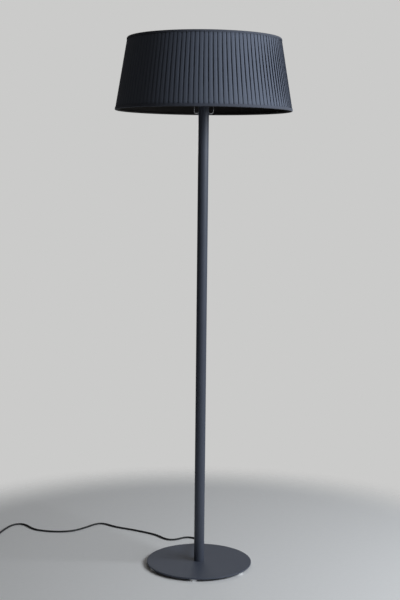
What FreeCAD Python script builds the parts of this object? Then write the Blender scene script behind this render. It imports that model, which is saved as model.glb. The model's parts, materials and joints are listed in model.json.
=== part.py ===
import FreeCAD, Part
import math
import os
import re
import Sketcher
from FreeCAD import Placement, Rotation, Vector

# Electric patio heater: a pleated lampshade head with three heating tubes on a slim pole.
# Millimetres, +Z up, origin on the floor under the middle of the base, front towards -Y.

# Driving sizes

SIZES = [
    # base
    ("base_d", 370, "base plate, diameter"),
    ("plate_t", 6, "base plate, thickness"),
    ("plate_round", 1.5, "base plate, rounding of its rim"),
    ("foot_h", 7.5, "foot, height under the plate"),
    ("foot_d", 28, "foot, diameter against the plate"),
    ("foot_taper", 1.5, "foot, how much its radius shrinks to the floor"),
    ("foot_sink", 4, "foot, depth of the screw's seat from the floor"),
    ("foot_seat_gap", 0.4, "foot, clearance round the screw's head"),
    ("foot_inset", 15, "foot, axis in from the plate's rim"),
    ("foot_screw_d", 4, "foot screw, thread diameter"),
    ("foot_screw_head_d", 8, "foot screw, head diameter"),
    ("foot_screw_head_h", 2.6, "foot screw, head height"),
    ("foot_screw_bite", 4, "foot screw, depth in the plate"),
    ("bolt_d", 10, "base bolt, thread diameter"),
    ("bolt_head_d", 20, "base bolt, countersunk head diameter"),
    ("bolt_reach", 16, "base bolt, depth in the pole's plug"),
    ("bolt_socket", 3.5, "base bolt, depth of its hex socket"),
    ("bolt_socket_d", 7, "base bolt, hex socket across its corners"),
    ("bolt_spare", 2, "base bolt, free thread over its end"),
    # pole
    ("pole_d", 36, "pole, diameter"),
    ("pole_wall", 2, "pole, wall"),
    ("seam_z", 800, "pole, height of the seam between its sections"),
    ("seam_bevel", 0.4, "pole, bevel at the seam"),
    ("coupler_len", 120, "coupler, length"),
    ("spigot_wall", 2.4, "coupler and head spigot, wall"),
    ("foot_plug_len", 26, "threaded plug in the pole's foot, length"),
    ("fit_gap", 0.1, "clearance of a fitted piece, on the radius"),
    ("skin_gap", 0.05, "clearance of a saddle face on the pole"),
    # mains cord and its exit
    ("cord_d", 6.8, "cord, diameter"),
    ("cord_lift", 0.2, "cord, clearance over the floor"),
    ("exit_z", 50, "cord exit, height"),
    ("relief_len", 45, "strain relief, length outside the pole"),
    ("relief_d", 13, "strain relief, diameter at the pole"),
    ("relief_tip_d", 9.5, "strain relief, diameter at the tip"),
    ("relief_hole_d", 9, "strain relief, hole in the pole"),
    ("relief_collar", 4, "strain relief, collar length"),
    ("relief_groove", 1, "strain relief, depth of its grooves"),
    ("relief_lip_d", 10.8, "strain relief, lip inside the pole, diameter"),
    ("relief_lip", 2.4, "strain relief, lip thickness"),
    ("relief_lip_gap", 1.6, "strain relief, lip to the bore at the middle"),
    ("cable_shift", 6, "inner cable, distance in front of the pole's axis"),
    ("cable_bend", 15, "inner cable, bend radius at the exit"),
    ("cable_top_bend", 11, "inner cable, bend radius in the junction box"),
    # push button at the back of the pole
    ("button_z", 1250, "push button, height"),
    ("button_d", 11, "push button, diameter"),
    ("button_travel", 2, "push button, travel"),
    ("button_proud", 3, "push button, height over its bezel"),
    ("button_gap", 0.15, "push button, clearance in its bore"),
    ("bezel_d", 20, "push button bezel, diameter"),
    ("bezel_h", 2.5, "push button bezel, height over the pole"),
    ("bezel_bevel", 0.8, "push button bezel, bevel"),
    ("bezel_seat", 3.2, "push button bezel, depth of its saddle"),
    ("barrel_d", 16, "switch barrel, diameter"),
    ("barrel_len", 22, "switch barrel, length inside the bezel's face"),
    ("bore_len", 9, "switch bore, depth from the bezel's face"),
    ("tabs_w", 10, "switch terminals, width"),
    ("tabs_t", 6, "switch terminals, length along the barrel"),
    ("tabs_h", 14, "switch terminals, height"),
    # head
    ("rim_z", 1593.5, "shade, height of its lower rim"),
    ("head_rise", 50, "hood, height of its lower lip over the rim"),
    ("hood_over", 4, "hood, how far it stands out past the reflector's lip"),
    ("hood_h", 70, "hood, height"),
    ("hood_t", 1.2, "hood, sheet thickness"),
    ("hood_slope", 18, "hood, size of its sloped shoulder"),
    ("hood_lip", 19, "hood, width of its inward lip"),
    ("hood_eye_d", 28, "hood, cable hole diameter"),
    ("flange_d", 84, "head flange, diameter"),
    ("flange_t", 4, "head flange, thickness"),
    ("spigot_len", 45, "head flange, length of its spigot in the pole"),
    ("set_screw_d", 5, "set screw, diameter"),
    ("set_screw_drop", 12, "set screw, distance below the pole's top"),
    ("hood_screw_in", 10, "hood screws, axis in from the flange's rim"),
    ("hood_screw_d", 4, "hood screw, thread diameter"),
    ("hood_screw_head_d", 7, "hood screw, head diameter"),
    ("hood_screw_head_h", 2.4, "hood screw, head height"),
    # reflector
    ("mirror_h", 43, "reflector, depth"),
    ("mirror_t", 1, "reflector, sheet thickness"),
    ("mirror_roof_gap", 7.4, "reflector, flat roof past the corners of the ceramic caps"),
    ("mirror_flare", 19, "reflector, how much wider its mouth is than its roof, on the radius"),
    ("mirror_lip", 17, "reflector, width of its lip"),
    ("mirror_eye_gap", 1.5, "reflector, clearance round the pole"),
    ("mirror_screw_in", 10, "reflector screws, axis in from the lip's rim"),
    ("mirror_screw_d", 3, "reflector screw, thread diameter"),
    ("mirror_screw_head_d", 6, "reflector screw, head diameter"),
    ("mirror_screw_head_h", 2, "reflector screw, head height"),
    ("mirror_screw_bite", 4, "reflector screw, length over the hood's lip"),
    # heating tubes
    ("tube_d", 12, "quartz tube, diameter"),
    ("tube_wall", 1.2, "quartz tube, wall"),
    ("tube_len", 256, "quartz tube, length"),
    ("tube_offset", 100, "quartz tube, distance from the pole's axis"),
    ("tube_drop", 23, "quartz tube, axis below the reflector's roof"),
    ("strip_w", 7, "carbon strip, width"),
    ("strip_t", 0.8, "carbon strip, thickness"),
    ("cap_len", 26, "ceramic cap, length"),
    ("cap_w", 14, "ceramic cap, width and height"),
    ("cap_grip", 11, "ceramic cap, depth of the tube's seat"),
    ("bracket_w", 12, "tube bracket, width along the tube"),
    ("bracket_t", 1.2, "tube bracket, sheet thickness"),
    ("bracket_reach", 2, "tube bracket, reach below the tube's axis"),
    ("lead_d", 2.6, "heater lead, diameter"),
    ("lead_inset", 6, "heater lead, distance from the cap's outer end"),
    ("lead_rise", 13, "heater lead, height over the reflector's roof"),
    ("lead_bend", 8, "heater lead, bend radius"),
    ("lead_ring_d", 100, "circle where the leads enter the junction box, diameter"),
    ("lead_end", 8, "heater lead, length inside the junction box"),
    ("lead_hole_d", 5, "hole for a heater lead, diameter"),
    # wire guard
    ("guard_wire_d", 3, "guard, wire diameter"),
    ("guard_in", 3, "guard, outer ring in from the reflector's rim"),
    ("guard_pitch", 36, "guard, step between rings"),
    ("basket_d", 70, "guard, diameter of its dropped middle"),
    ("basket_low", 8, "guard, axis of its dropped wires below the rim"),
    ("basket_slant", 2, "guard, how much the dropped wires lean inward"),
    ("basket_bend", 7, "guard, bend radius of the dropped wires"),
    ("collar_t", 2.5, "guard collar round the pole, thickness"),
    ("collar_h", 7, "guard collar round the pole, height"),
    ("clip_len", 14, "guard clip, length along the rim"),
    ("clip_deep", 14.5, "guard clip, length towards the pole"),
    ("clip_in", 0.5, "guard clip, outer end in from the reflector's rim"),
    ("clip_h", 4.6, "guard clip, height"),
    # junction box
    ("box_d", 116, "junction box, diameter"),
    ("box_h", 44, "junction box, height of its cover"),
    ("box_wall", 1.5, "junction box, wall"),
    ("box_lip_d", 142, "junction box, lip diameter"),
    ("box_round", 1.2, "junction box, rounding of its top edge"),
    ("seal_t", 2, "junction box seal, thickness"),
    ("box_screw_in", 6, "junction box screws, axis in from the lip's rim"),
    ("box_screw_d", 4, "junction box screw, thread diameter"),
    ("box_screw_head_d", 7, "junction box screw, head diameter"),
    ("box_screw_head_h", 2.4, "junction box screw, head height"),
    ("box_screw_bite", 3, "junction box screw, length under the hood"),
    ("block_x", 24, "terminal block, distance of its face from the axis"),
    ("block_w", 16, "terminal block, width"),
    ("block_len", 30, "terminal block, length"),
    ("block_h", 14, "terminal block, height"),
    # tip-over switch
    ("tip_x", 30, "tip-over switch, distance from the axis"),
    ("tip_w", 20, "tip-over bracket, width"),
    ("tip_span", 18, "tip-over bracket, distance between its ears"),
    ("tip_t", 1.5, "tip-over bracket, sheet thickness"),
    ("tip_h", 34, "tip-over bracket, height"),
    ("tip_pivot_h", 28, "tip-over pendulum, pivot height"),
    ("tip_pin_d", 3, "tip-over pin, diameter"),
    ("tip_pin_over", 1, "tip-over pin, length outside each ear"),
    ("tip_boss_d", 9, "tip-over pendulum, boss diameter"),
    ("tip_boss_len", 14, "tip-over pendulum, boss length"),
    ("tip_arm_len", 15, "tip-over pendulum, pivot to the bob's axis"),
    ("tip_arm_w", 5, "tip-over pendulum, arm width"),
    ("tip_bob_d", 14, "tip-over pendulum, bob diameter"),
    ("tip_bob_len", 12, "tip-over pendulum, bob length"),
    ("micro_len", 18, "micro switch, length"),
    ("micro_w", 6, "micro switch, width"),
    ("micro_h", 12, "micro switch, height"),
    # shade
    ("shade_h", 243.5, "shade, height"),
    ("shade_bottom_d", 607, "shade, diameter of its lower rim"),
    ("shade_top_d", 524, "shade, diameter of its upper rim"),
    ("binding_h", 11, "shade binding, height"),
    ("binding_t", 0.8, "shade binding, cloth thickness"),
    ("layer_gap", 0.35, "shade, gap between its layers"),
    ("pleat_depth", 3, "shade pleats, depth"),
    ("cloth_t", 1, "shade cloth, thickness under the pleats"),
    ("liner_t", 1.2, "shade liner, thickness"),
    ("ring_d", 4, "shade rings, wire diameter"),
    ("ring_drop", 5, "shade rings, distance from the rims"),
    ("hub_d", 32, "carrier hub, diameter"),
    ("hub_t", 6, "carrier hub, thickness"),
    ("arm_d", 5, "carrier arm, wire diameter"),
    ("arm_knee_d", 400, "carrier arm, diameter where it turns up"),
    ("arm_bend", 30, "carrier arm, bend radius"),
    ("stud_d", 8, "carrier stud, diameter"),
    ("stud_head_d", 18, "carrier stud, head diameter"),
    ("stud_head_h", 2, "carrier stud, head height"),
    ("stud_short", 3, "carrier stud, end below the nut's top"),
    ("nut_d", 26, "finial nut, diameter"),
    ("nut_h", 16, "finial nut, height"),
    ("nut_bevel", 1.5, "finial nut, bevel"),
    ("nut_flute_d", 8, "finial nut, flute diameter"),
    ("nut_flute_out", 2, "finial nut, flute axes outside its rim"),
    ("nut_gap", 0.3, "finial nut, clearance to the hub"),
    ("stud_gap", 0.2, "finial nut, clearance round the stud"),
    # plug
    ("plug_d", 36.4, "plug, face diameter"),
    ("plug_len", 50, "plug, length"),
    ("plug_face_len", 12, "plug, length of its face end"),
    ("plug_flare", 5, "plug, length of its flare"),
    ("plug_grip_d", 27, "plug, grip diameter"),
    ("plug_waist_d", 23, "plug, waist diameter"),
    ("plug_step", 1, "plug, length of the step from boot to waist"),
    ("plug_boot_len", 18, "plug, boot length"),
    ("plug_boot_d", 15, "plug, boot diameter at the body"),
    ("plug_boot_tip_d", 10.4, "plug, boot diameter at the cord"),
    ("pin_d", 4.8, "plug pin, diameter"),
    ("pin_len", 19, "plug pin, length"),
    ("pin_span", 19, "plug pins, distance between axes"),
    ("notch_w", 7, "plug notch, width"),
    ("notch_deep", 4, "plug notch, depth"),
    ("notch_len", 14, "plug notch, length from the face"),
    ("earth_w", 5, "earth clip, width"),
    ("earth_t", 1, "earth clip, thickness"),
    ("plug_lift", 18.4, "plug, height of its axis over the floor"),
    # coil of spare cord
    ("coil_lift", 1.8, "coil, clearance over the floor, room for its tie"),
    ("coil_r", 47, "coil, radius of its outer turn"),
    ("coil_step", 7.5, "coil, step between turns and between layers"),
    ("tail_len", 74, "tail from the coil to the plug, length along the floor"),
    ("tie_w", 6, "coil tie, width"),
    ("tie_t", 1, "coil tie, thickness"),
    ("tie_gap", 0.5, "coil tie, clearance round the cord"),
]

FOOT_COUNT = 6
FOOT_START = -96
RELIEF_RINGS = 5
GROOVE_SHARE = 0.4
SET_SCREWS = 3
HOOD_SCREWS = 4
HOOD_SCREW_START = 45
MIRROR_SCREWS = 6
MIRROR_SCREW_START = 15
BOX_SCREWS = 3
BOX_SCREW_START = 30
TUBE_ANGLES = (-90, 30, 150)
GUARD_RINGS = 5
GUARD_SPOKES = 12
BASKET_ANGLES = (-14, 14, 166, 194)
ARM_ANGLES = (45, 135, 225, 315)
NUT_FLUTES = 6
PLEATS = 116
PLEAT_FOLD = 0.8
COIL_TURNS = 2.5
TIE_TURN = 0.24
ARC_SHARE = 0.45
GAP_SAMPLES = 48

# Places worked out from the driving sizes

PLATE_TOP = "(foot_h + plate_t)"
POLE_R = "(pole_d / 2)"
BORE_R = "(pole_d / 2 - pole_wall)"
SPIGOT_R = "(pole_d / 2 - pole_wall - fit_gap)"
SPIGOT_IN = "(pole_d / 2 - pole_wall - fit_gap - spigot_wall)"
FOOT_RING = "(base_d / 2 - foot_inset)"
BEZEL_FACE = "(pole_d / 2 + bezel_h)"
BORE_FLOOR = "(pole_d / 2 + bezel_h - bore_len)"
BARREL_END = "(pole_d / 2 + bezel_h - barrel_len)"
HOOD_LOW = "(rim_z + head_rise)"
HOOD_TOP = "(rim_z + head_rise + hood_h)"
POLE_TOP = "(rim_z + head_rise + hood_h - hood_t - flange_t)"
MIRROR_LOW = "(rim_z + head_rise - mirror_t)"
MIRROR_TOP = "(rim_z + head_rise + mirror_h)"
ROOF_UNDER = "(rim_z + head_rise + mirror_h - mirror_t)"
TUBE_Z = "(rim_z + head_rise + mirror_h - mirror_t - tube_drop)"
CAP_REACH = "sqrt((tube_offset + cap_w / 2) ^ 2 + (tube_len / 2 - cap_grip + cap_len) ^ 2)"
ROOF_R = "(%s + mirror_roof_gap)" % CAP_REACH
MOUTH_R = "(%s + mirror_roof_gap + mirror_flare)" % CAP_REACH
LIP_R = "(%s + mirror_roof_gap + mirror_flare + mirror_lip)" % CAP_REACH
MIRROR_SCREW_R = LIP_R[:-1] + " - mirror_screw_in)"
GUARD_R = LIP_R[:-1] + " - guard_in)"
HOOD_R = LIP_R[:-1] + " + hood_over)"
HOOD_SCREW_R = "(flange_d / 2 - hood_screw_in)"
BOX_SCREW_R = "(box_lip_d / 2 - box_screw_in)"
CAP_IN = "(tube_len / 2 - cap_grip)"
LEAD_ALONG = "(tube_len / 2 - cap_grip + cap_len - lead_inset)"
GUARD_Z = "(rim_z + head_rise - mirror_t - guard_wire_d / 2 - fit_gap)"
SPOKE_Z = "(rim_z + head_rise - mirror_t - guard_wire_d * 3 / 2 - fit_gap)"
BOX_LOW = "(rim_z + head_rise + hood_h + seal_t)"
BOX_TOP = "(rim_z + head_rise + hood_h + seal_t + box_h)"
HUB_TOP = "(rim_z + head_rise + hood_h + seal_t + box_h + hub_t)"
SHADE_TOP = "(rim_z + shade_h)"
LAYER_LOW = "(rim_z + binding_t + layer_gap)"
LAYER_TOP = "(rim_z + shade_h - binding_t - layer_gap)"
PLEAT_IN = "(binding_t + layer_gap)"
CLOTH_IN = "(binding_t + layer_gap + pleat_depth + cloth_t)"
LINER_OUT = "(binding_t + layer_gap * 2 + pleat_depth + cloth_t)"
LINER_IN = "(binding_t + layer_gap * 2 + pleat_depth + cloth_t + liner_t)"
LEG_IN = "(binding_t + layer_gap * 3 + pleat_depth + cloth_t + liner_t)"
RING_IN = "(binding_t * 2 + layer_gap * 4 + pleat_depth + cloth_t + liner_t + ring_d / 2)"

# The cord's free run: its fall from the strain relief's tip, as steps back and down, then points
# chosen along the floor, the last two lifted on to the coil's height.

CORD_FALL = [(37.5, 0), (85.5, 9), (133.5, 25)]
CORD_ON_FLOOR = [
    (0, 236),
    (-6, 272),
    (-48, 294),
    (-90, 255),
    (-124, 258),
    (-162, 312),
    (-205, 342),
    (-262, 376),
    (-330, 408),
    (-374, 450),
    (-406, 446),
    (-442, 396),
    (-486, 350),
    (-540, 338),
    (-596, 346),
    (-642, 366),
    (-684, 430),
    (-718, 432),
    (-740, 404),
    (-757, 348),
]
CORD_TO_COIL = [(-767, 293), (-770, 243)]

doc = FreeCAD.newDocument("patio_heater")
sheet = doc.addObject("Spreadsheet::Sheet", "sizes")
for row, (alias, size, meaning) in enumerate(SIZES, 1):
    sheet.set("A%d" % row, meaning)
    sheet.set("B%d" % row, str(size))
    sheet.setAlias("B%d" % row, alias)
doc.recompute()

KNOWN = {alias for alias, size, meaning in SIZES}
UP = Vector(0, 0, 1)
TO_BACK = Rotation(UP, Vector(0, 1, 0))
nodes = {}


# Helpers: sizes and places

def full(text):
    """Name the sheet in front of each size that an expression uses."""
    def named(word):
        return "sizes." + word.group() if word.group() in KNOWN else word.group()
    return re.sub(r"[a-z]\w*", named, str(text))


def value(text):
    """Number that an expression gives now."""
    return float(sheet.evalExpression(full(text)))


def bind(thing, **sizes):
    """Bind properties of a document object to expressions."""
    for name, text in sizes.items():
        thing.setExpression(name, full(text))
    return thing


def place(thing, x="0", y="0", z="0", rotation=Rotation()):
    """Bind the place of a document object, with a fixed rotation."""
    thing.Placement = Placement(Vector(value(x), value(y), value(z)), rotation)
    for axis, text in zip("xyz", (x, y, z)):
        thing.setExpression("Placement.Base." + axis, full(text))
    return thing


def keep(thing):
    """Enter a finished sub-part under its own label."""
    nodes[thing.Label] = thing
    return thing


def polar(spread, angle):
    """X and Y of a point at a distance from the axis and an angle."""
    return "(%s) * cos(%g)" % (spread, angle), "(%s) * sin(%g)" % (spread, angle)


def angles(count, start=0):
    """Evenly spaced angles round the axis."""
    return [start + 360.0 * step / count for step in range(count)]


def shade_r(z, inset):
    """Radius of the shade's cone at a height, less an inset."""
    taper = "(shade_bottom_d - shade_top_d) / 2"
    return "(shade_bottom_d / 2 - %s * ((%s) - rim_z) / shade_h - (%s))" % (taper, z, inset)


# Helpers: bodies from sketches

def origin_part(body, role):
    """Plane or axis of a body's own origin."""
    return [part for part in body.Origin.OriginFeatures if part.Role == role][0]


def outline(sketch, points):
    """Closed outline whose corners are bound to expressions."""
    corners = [Vector(value(across), value(up), 0) for across, up in points]
    count = len(points)
    for step in range(count):
        sketch.addGeometry(Part.LineSegment(corners[step], corners[(step + 1) % count]), False)
    for step in range(count):
        sketch.addConstraint(Sketcher.Constraint("Coincident", step, 2, (step + 1) % count, 1))
    for step, (across, up) in enumerate(points):
        pairs = (("DistanceX", -2, across, corners[step].x), ("DistanceY", -1, up, corners[step].y))
        for kind, axis, text, size in pairs:
            if abs(size) < 1e-9:
                sketch.addConstraint(Sketcher.Constraint("PointOnObject", step, 1, axis))
            else:
                index = sketch.addConstraint(Sketcher.Constraint(kind, -1, 1, step, 1, size))
                sketch.setExpression("Constraints[%d]" % index, full(text))


def turned(label, points):
    """Body turned about the upright axis from corners given as radius and height."""
    body = doc.addObject("PartDesign::Body", label)
    sketch = body.newObject("Sketcher::SketchObject", label + "_profile")
    sketch.AttachmentSupport = (origin_part(body, "XZ_Plane"), [""])
    sketch.MapMode = "FlatFace"
    outline(sketch, points)
    turn = body.newObject("PartDesign::Revolution", label + "_turn")
    turn.Profile = sketch
    turn.ReferenceAxis = (sketch, ["V_Axis"])
    turn.Angle = 360
    doc.recompute()
    return body


def drilled(body, name, radius, spread, top, depth, count=1, angle=0):
    """Drill a ring of upright holes down from a height, and make sure that they cut."""
    before = body.Shape.Volume
    sketch = body.newObject("Sketcher::SketchObject", body.Name + "_" + name)
    sketch.AttachmentSupport = (origin_part(body, "XY_Plane"), [""])
    sketch.MapMode = "FlatFace"
    sketch.AttachmentOffset = Placement(Vector(0, 0, value(top)), Rotation(UP, angle))
    sketch.setExpression("AttachmentOffset.Base.z", full(top))
    sketch.addGeometry(Part.Circle(Vector(value(spread), 0, 0), UP, value(radius)), False)
    sketch.addConstraint(Sketcher.Constraint("PointOnObject", 0, 3, -1))
    for kind, ends, text in (("DistanceX", (-1, 1, 0, 3), spread), ("Radius", (0,), radius)):
        index = sketch.addConstraint(Sketcher.Constraint(kind, *ends, value(text)))
        sketch.setExpression("Constraints[%d]" % index, full(text))
    pocket = body.newObject("PartDesign::Pocket", body.Name + "_" + name + "_cut")
    pocket.Profile = sketch
    pocket.Type = "Length"
    bind(pocket, Length=depth)
    body.Tip = pocket
    doc.recompute()
    if count > 1:
        pattern = body.newObject("PartDesign::PolarPattern", body.Name + "_" + name + "_ring")
        pattern.Originals = [pocket]
        pattern.Axis = (origin_part(body, "Z_Axis"), [""])
        pattern.Angle = 360
        pattern.Occurrences = count
        body.Tip = pattern
        doc.recompute()
    if body.Shape.Volume > before - 1e-6:
        raise RuntimeError(body.Name + " " + name + " cuts nothing")
    return body


def rounded(body, name, radius, edge_radius, heights):
    """Round the circular edges of a body that have a given radius and height."""
    wanted = value(edge_radius)
    levels = [value(height) for height in heights]
    picked = []
    for index, edge in enumerate(body.Tip.Shape.Edges, 1):
        round_edge = isinstance(edge.Curve, Part.Circle) and abs(edge.Curve.Radius - wanted) < 1e-3
        if round_edge and any(abs(edge.BoundBox.ZMin - level) < 1e-3 for level in levels):
            picked.append("Edge%d" % index)
    base = body.Tip
    fillet = body.newObject("PartDesign::Fillet", body.Name + "_" + name)
    fillet.Base = (base, picked)
    bind(fillet, Radius=radius)
    body.Tip = fillet
    doc.recompute()
    return body


# Helpers: primitives and booleans

def rod(name, radius, length, x="0", y="0", z="0", rotation=Rotation()):
    """Round rod."""
    cylinder = bind(doc.addObject("Part::Cylinder", name), Radius=radius, Height=length)
    return place(cylinder, x, y, z, rotation)


def block(name, length, width, height, x="0", y="0", z="0", rotation=Rotation()):
    """Rectangular block from its lower corner."""
    box = bind(doc.addObject("Part::Box", name), Length=length, Width=width, Height=height)
    return place(box, x, y, z, rotation)


def wire_ring(name, radius, wire_radius, z):
    """Ring of round wire about the upright axis."""
    return place(bind(doc.addObject("Part::Torus", name), Radius1=radius, Radius2=wire_radius), z=z)


def joined(name, pieces):
    """One solid from several."""
    fuse = doc.addObject("Part::MultiFuse", name)
    fuse.Shapes = pieces
    doc.recompute()
    return fuse


def group(name, pieces):
    """Separate solids kept together in one sub-part."""
    bundle = doc.addObject("Part::Compound", name)
    bundle.Links = pieces
    doc.recompute()
    return bundle


def cut(name, base, tools):
    """Take tools away from a base, and make sure that they cut."""
    doc.recompute()
    result = doc.addObject("Part::Cut", name)
    result.Base = base
    result.Tool = tools[0] if len(tools) == 1 else group(name + "_tools", tools)
    doc.recompute()
    if result.Shape.Volume > base.Shape.Volume - 1e-6:
        raise RuntimeError(name + " cuts nothing")
    return result


def formed(name, shape):
    """Sub-part or piece with a shape of its own."""
    feature = doc.addObject("Part::Feature", name)
    feature.Shape = shape
    return feature


def screws(label, spots, radius, head_radius, seat, head_height, shank_length, head_up=True):
    """Group of screws at X and Y spots, seated at a height, with the head up or down."""
    made = []
    for number, (x, y) in enumerate(spots, 1):
        stem = "%s_%d" % (label, number)
        head_z = seat if head_up else "%s - %s" % (seat, head_height)
        shank_z = "%s - (%s)" % (seat, shank_length) if head_up else seat
        head = rod(stem + "_head", head_radius, head_height, x, y, head_z)
        shank = rod(stem + "_shank", radius, shank_length, x, y, shank_z)
        made.append(joined(stem, [head, shank]))
    return keep(group(label, made))


# Helpers: tubes along a path

def unit(vector):
    """Direction of a vector."""
    return Vector(vector).normalize()


def corner_arc(first, corner, last):
    """Arc that leaves the first point and meets the last one along two equal legs of a corner."""
    into = unit(corner - first)
    out = unit(last - corner)
    turn = into.getAngle(out)
    if turn < 1e-6:
        return Part.LineSegment(first, last).toShape()
    radius = (corner - first).Length / math.tan(turn / 2)
    middle = corner + unit(out - into) * (radius / math.cos(turn / 2) - radius)
    return Part.Arc(first, middle, last).toShape()


def swept(edges, radius):
    """Round tube along joined edges, with its volume checked against section times length."""
    path = Part.Wire(edges)
    start = edges[0].Vertexes[0].Point
    section = Part.makeCircle(radius, start, edges[0].tangentAt(edges[0].FirstParameter))
    tube = path.makePipeShell([Part.Wire([section])], True, False)
    plain = math.pi * radius ** 2 * path.Length
    if not tube.isValid() or abs(tube.Volume / plain - 1) > 0.01:
        raise RuntimeError("tube is not sound")
    return tube


def run_edges(points, bend=None):
    """Straight runs joined by tangent arcs, as large as the runs allow or of a given bend radius."""
    edges = []
    radii = []
    start = points[0]
    for before, corner, after in zip(points, points[1:], points[2:]):
        into = corner - before
        out = after - corner
        half = math.tan(into.getAngle(out) / 2)
        radius = bend or ARC_SHARE * min(into.Length, out.Length) / half
        first = corner - unit(into) * (radius * half)
        last = corner + unit(out) * (radius * half)
        if (first - start).Length > 1e-6:
            edges.append(Part.LineSegment(start, first).toShape())
        edges.append(corner_arc(first, corner, last))
        radii.append(radius)
        start = last
    edges.append(Part.LineSegment(start, points[-1]).toShape())
    return edges, radii


def bent_tube(points, radius, bend=None):
    """Tube along straight runs and arcs."""
    edges, radii = run_edges(points, bend)
    return swept(edges, radius)


def biarc(first, leaving, last, arriving):
    """Two arcs from one point and direction to another."""
    span = last - first
    both = leaving + arriving
    spread = 2 * (1 - leaving.dot(arriving))
    along = span.dot(both)
    reach = (math.sqrt(along ** 2 + spread * span.dot(span)) - along) / spread
    near = first + leaving * reach
    far = last - arriving * reach
    middle = (near + far) * 0.5
    return [corner_arc(first, near, middle), corner_arc(middle, far, last)]


# Base: plate, feet, bolt

def make_base():
    bolt_r = "bolt_d / 2 + fit_gap"
    plate = turned("base_plate", [
        ("bolt_head_d / 2 + fit_gap", "foot_h"),
        ("base_d / 2", "foot_h"),
        ("base_d / 2", PLATE_TOP),
        (bolt_r, PLATE_TOP),
        (bolt_r, "foot_h + bolt_head_d / 2 - bolt_d / 2"),
    ])
    rounded(plate, "rim", "plate_round", "base_d / 2", ["foot_h", PLATE_TOP])
    bite = "foot_screw_bite + 2 * fit_gap"
    hole_r = "foot_screw_d / 2 + fit_gap"
    drilled(plate, "foot_holes", hole_r, FOOT_RING, "foot_h + " + bite, bite, FOOT_COUNT, FOOT_START)
    keep(plate)

    spots = [polar(FOOT_RING, angle) for angle in angles(FOOT_COUNT, FOOT_START)]
    for number, (x, y) in enumerate(spots, 1):
        seat_r = "foot_screw_head_d / 2 + foot_seat_gap"
        foot = turned("foot_%d" % number, [
            (seat_r, "0"),
            ("foot_d / 2 - foot_taper", "0"),
            ("foot_d / 2", "foot_h"),
            (hole_r, "foot_h"),
            (hole_r, "foot_sink"),
            (seat_r, "foot_sink"),
        ])
        keep(place(foot, x, y))
    length = "foot_h - foot_sink + foot_screw_bite"
    screws("foot_screws", spots, "foot_screw_d / 2", "foot_screw_head_d / 2", "foot_sink",
           "foot_screw_head_h", length, head_up=False)

    bolt = turned("base_bolt_blank", [
        ("0", "foot_h"),
        ("bolt_head_d / 2", "foot_h"),
        ("bolt_d / 2", "foot_h + bolt_head_d / 2 - bolt_d / 2"),
        ("bolt_d / 2", PLATE_TOP + " + bolt_reach"),
        ("0", PLATE_TOP + " + bolt_reach"),
    ])
    socket = doc.addObject("Part::Prism", "base_bolt_socket")
    socket.Polygon = 6
    bind(socket, Circumradius="bolt_socket_d / 2", Height="bolt_socket")
    place(socket, z="foot_h")
    keep(cut("base_bolt", bolt, [socket]))


# Pole: foot plug, two sections, coupler

def make_pole():
    thread_r = "bolt_d / 2 + fit_gap"
    plug_top = PLATE_TOP + " + foot_plug_len"
    thread_top = PLATE_TOP + " + bolt_reach + bolt_spare"
    keep(turned("pole_foot_plug", [
        (thread_r, PLATE_TOP),
        (SPIGOT_R, PLATE_TOP),
        (SPIGOT_R, plug_top),
        ("0", plug_top),
        ("0", thread_top),
        (thread_r, thread_top),
    ]))

    lower = turned("pole_lower_tube", [
        (BORE_R, PLATE_TOP),
        (POLE_R, PLATE_TOP),
        (POLE_R, "seam_z - seam_bevel"),
        (POLE_R + " - seam_bevel", "seam_z"),
        (BORE_R, "seam_z"),
    ])
    exit_hole = rod("pole_exit_hole", "relief_hole_d / 2", "pole_d", z="exit_z", rotation=TO_BACK)
    keep(cut("pole_lower", lower, [exit_hole]))

    upper = turned("pole_upper_tube", [
        (BORE_R, "seam_z"),
        (POLE_R + " - seam_bevel", "seam_z"),
        (POLE_R, "seam_z + seam_bevel"),
        (POLE_R, POLE_TOP),
        (BORE_R, POLE_TOP),
    ])
    holes = [rod("pole_switch_hole", "barrel_d / 2 + fit_gap", "pole_d", z="button_z", rotation=TO_BACK)]
    holes += set_screw_rods("pole_set_hole", "set_screw_d / 2 + fit_gap", "0", "pole_d")
    keep(cut("pole_upper", upper, holes))

    keep(turned("pole_coupler", [
        (SPIGOT_IN, "seam_z - coupler_len / 2"),
        (SPIGOT_R, "seam_z - coupler_len / 2"),
        (SPIGOT_R, "seam_z + coupler_len / 2"),
        (SPIGOT_IN, "seam_z + coupler_len / 2"),
    ]))


def set_screw_rods(name, radius, start, length):
    """Level rods towards the set screws' places, from a distance out of the axis."""
    rods = []
    for number, angle in enumerate(angles(SET_SCREWS), 1):
        x, y = polar(start, angle)
        outward = Rotation(UP, Vector(math.cos(math.radians(angle)), math.sin(math.radians(angle)), 0))
        z = POLE_TOP + " - set_screw_drop"
        rods.append(rod("%s_%d" % (name, number), radius, length, x, y, z, outward))
    return rods


# Cord exit and the cable inside the pole

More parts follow.
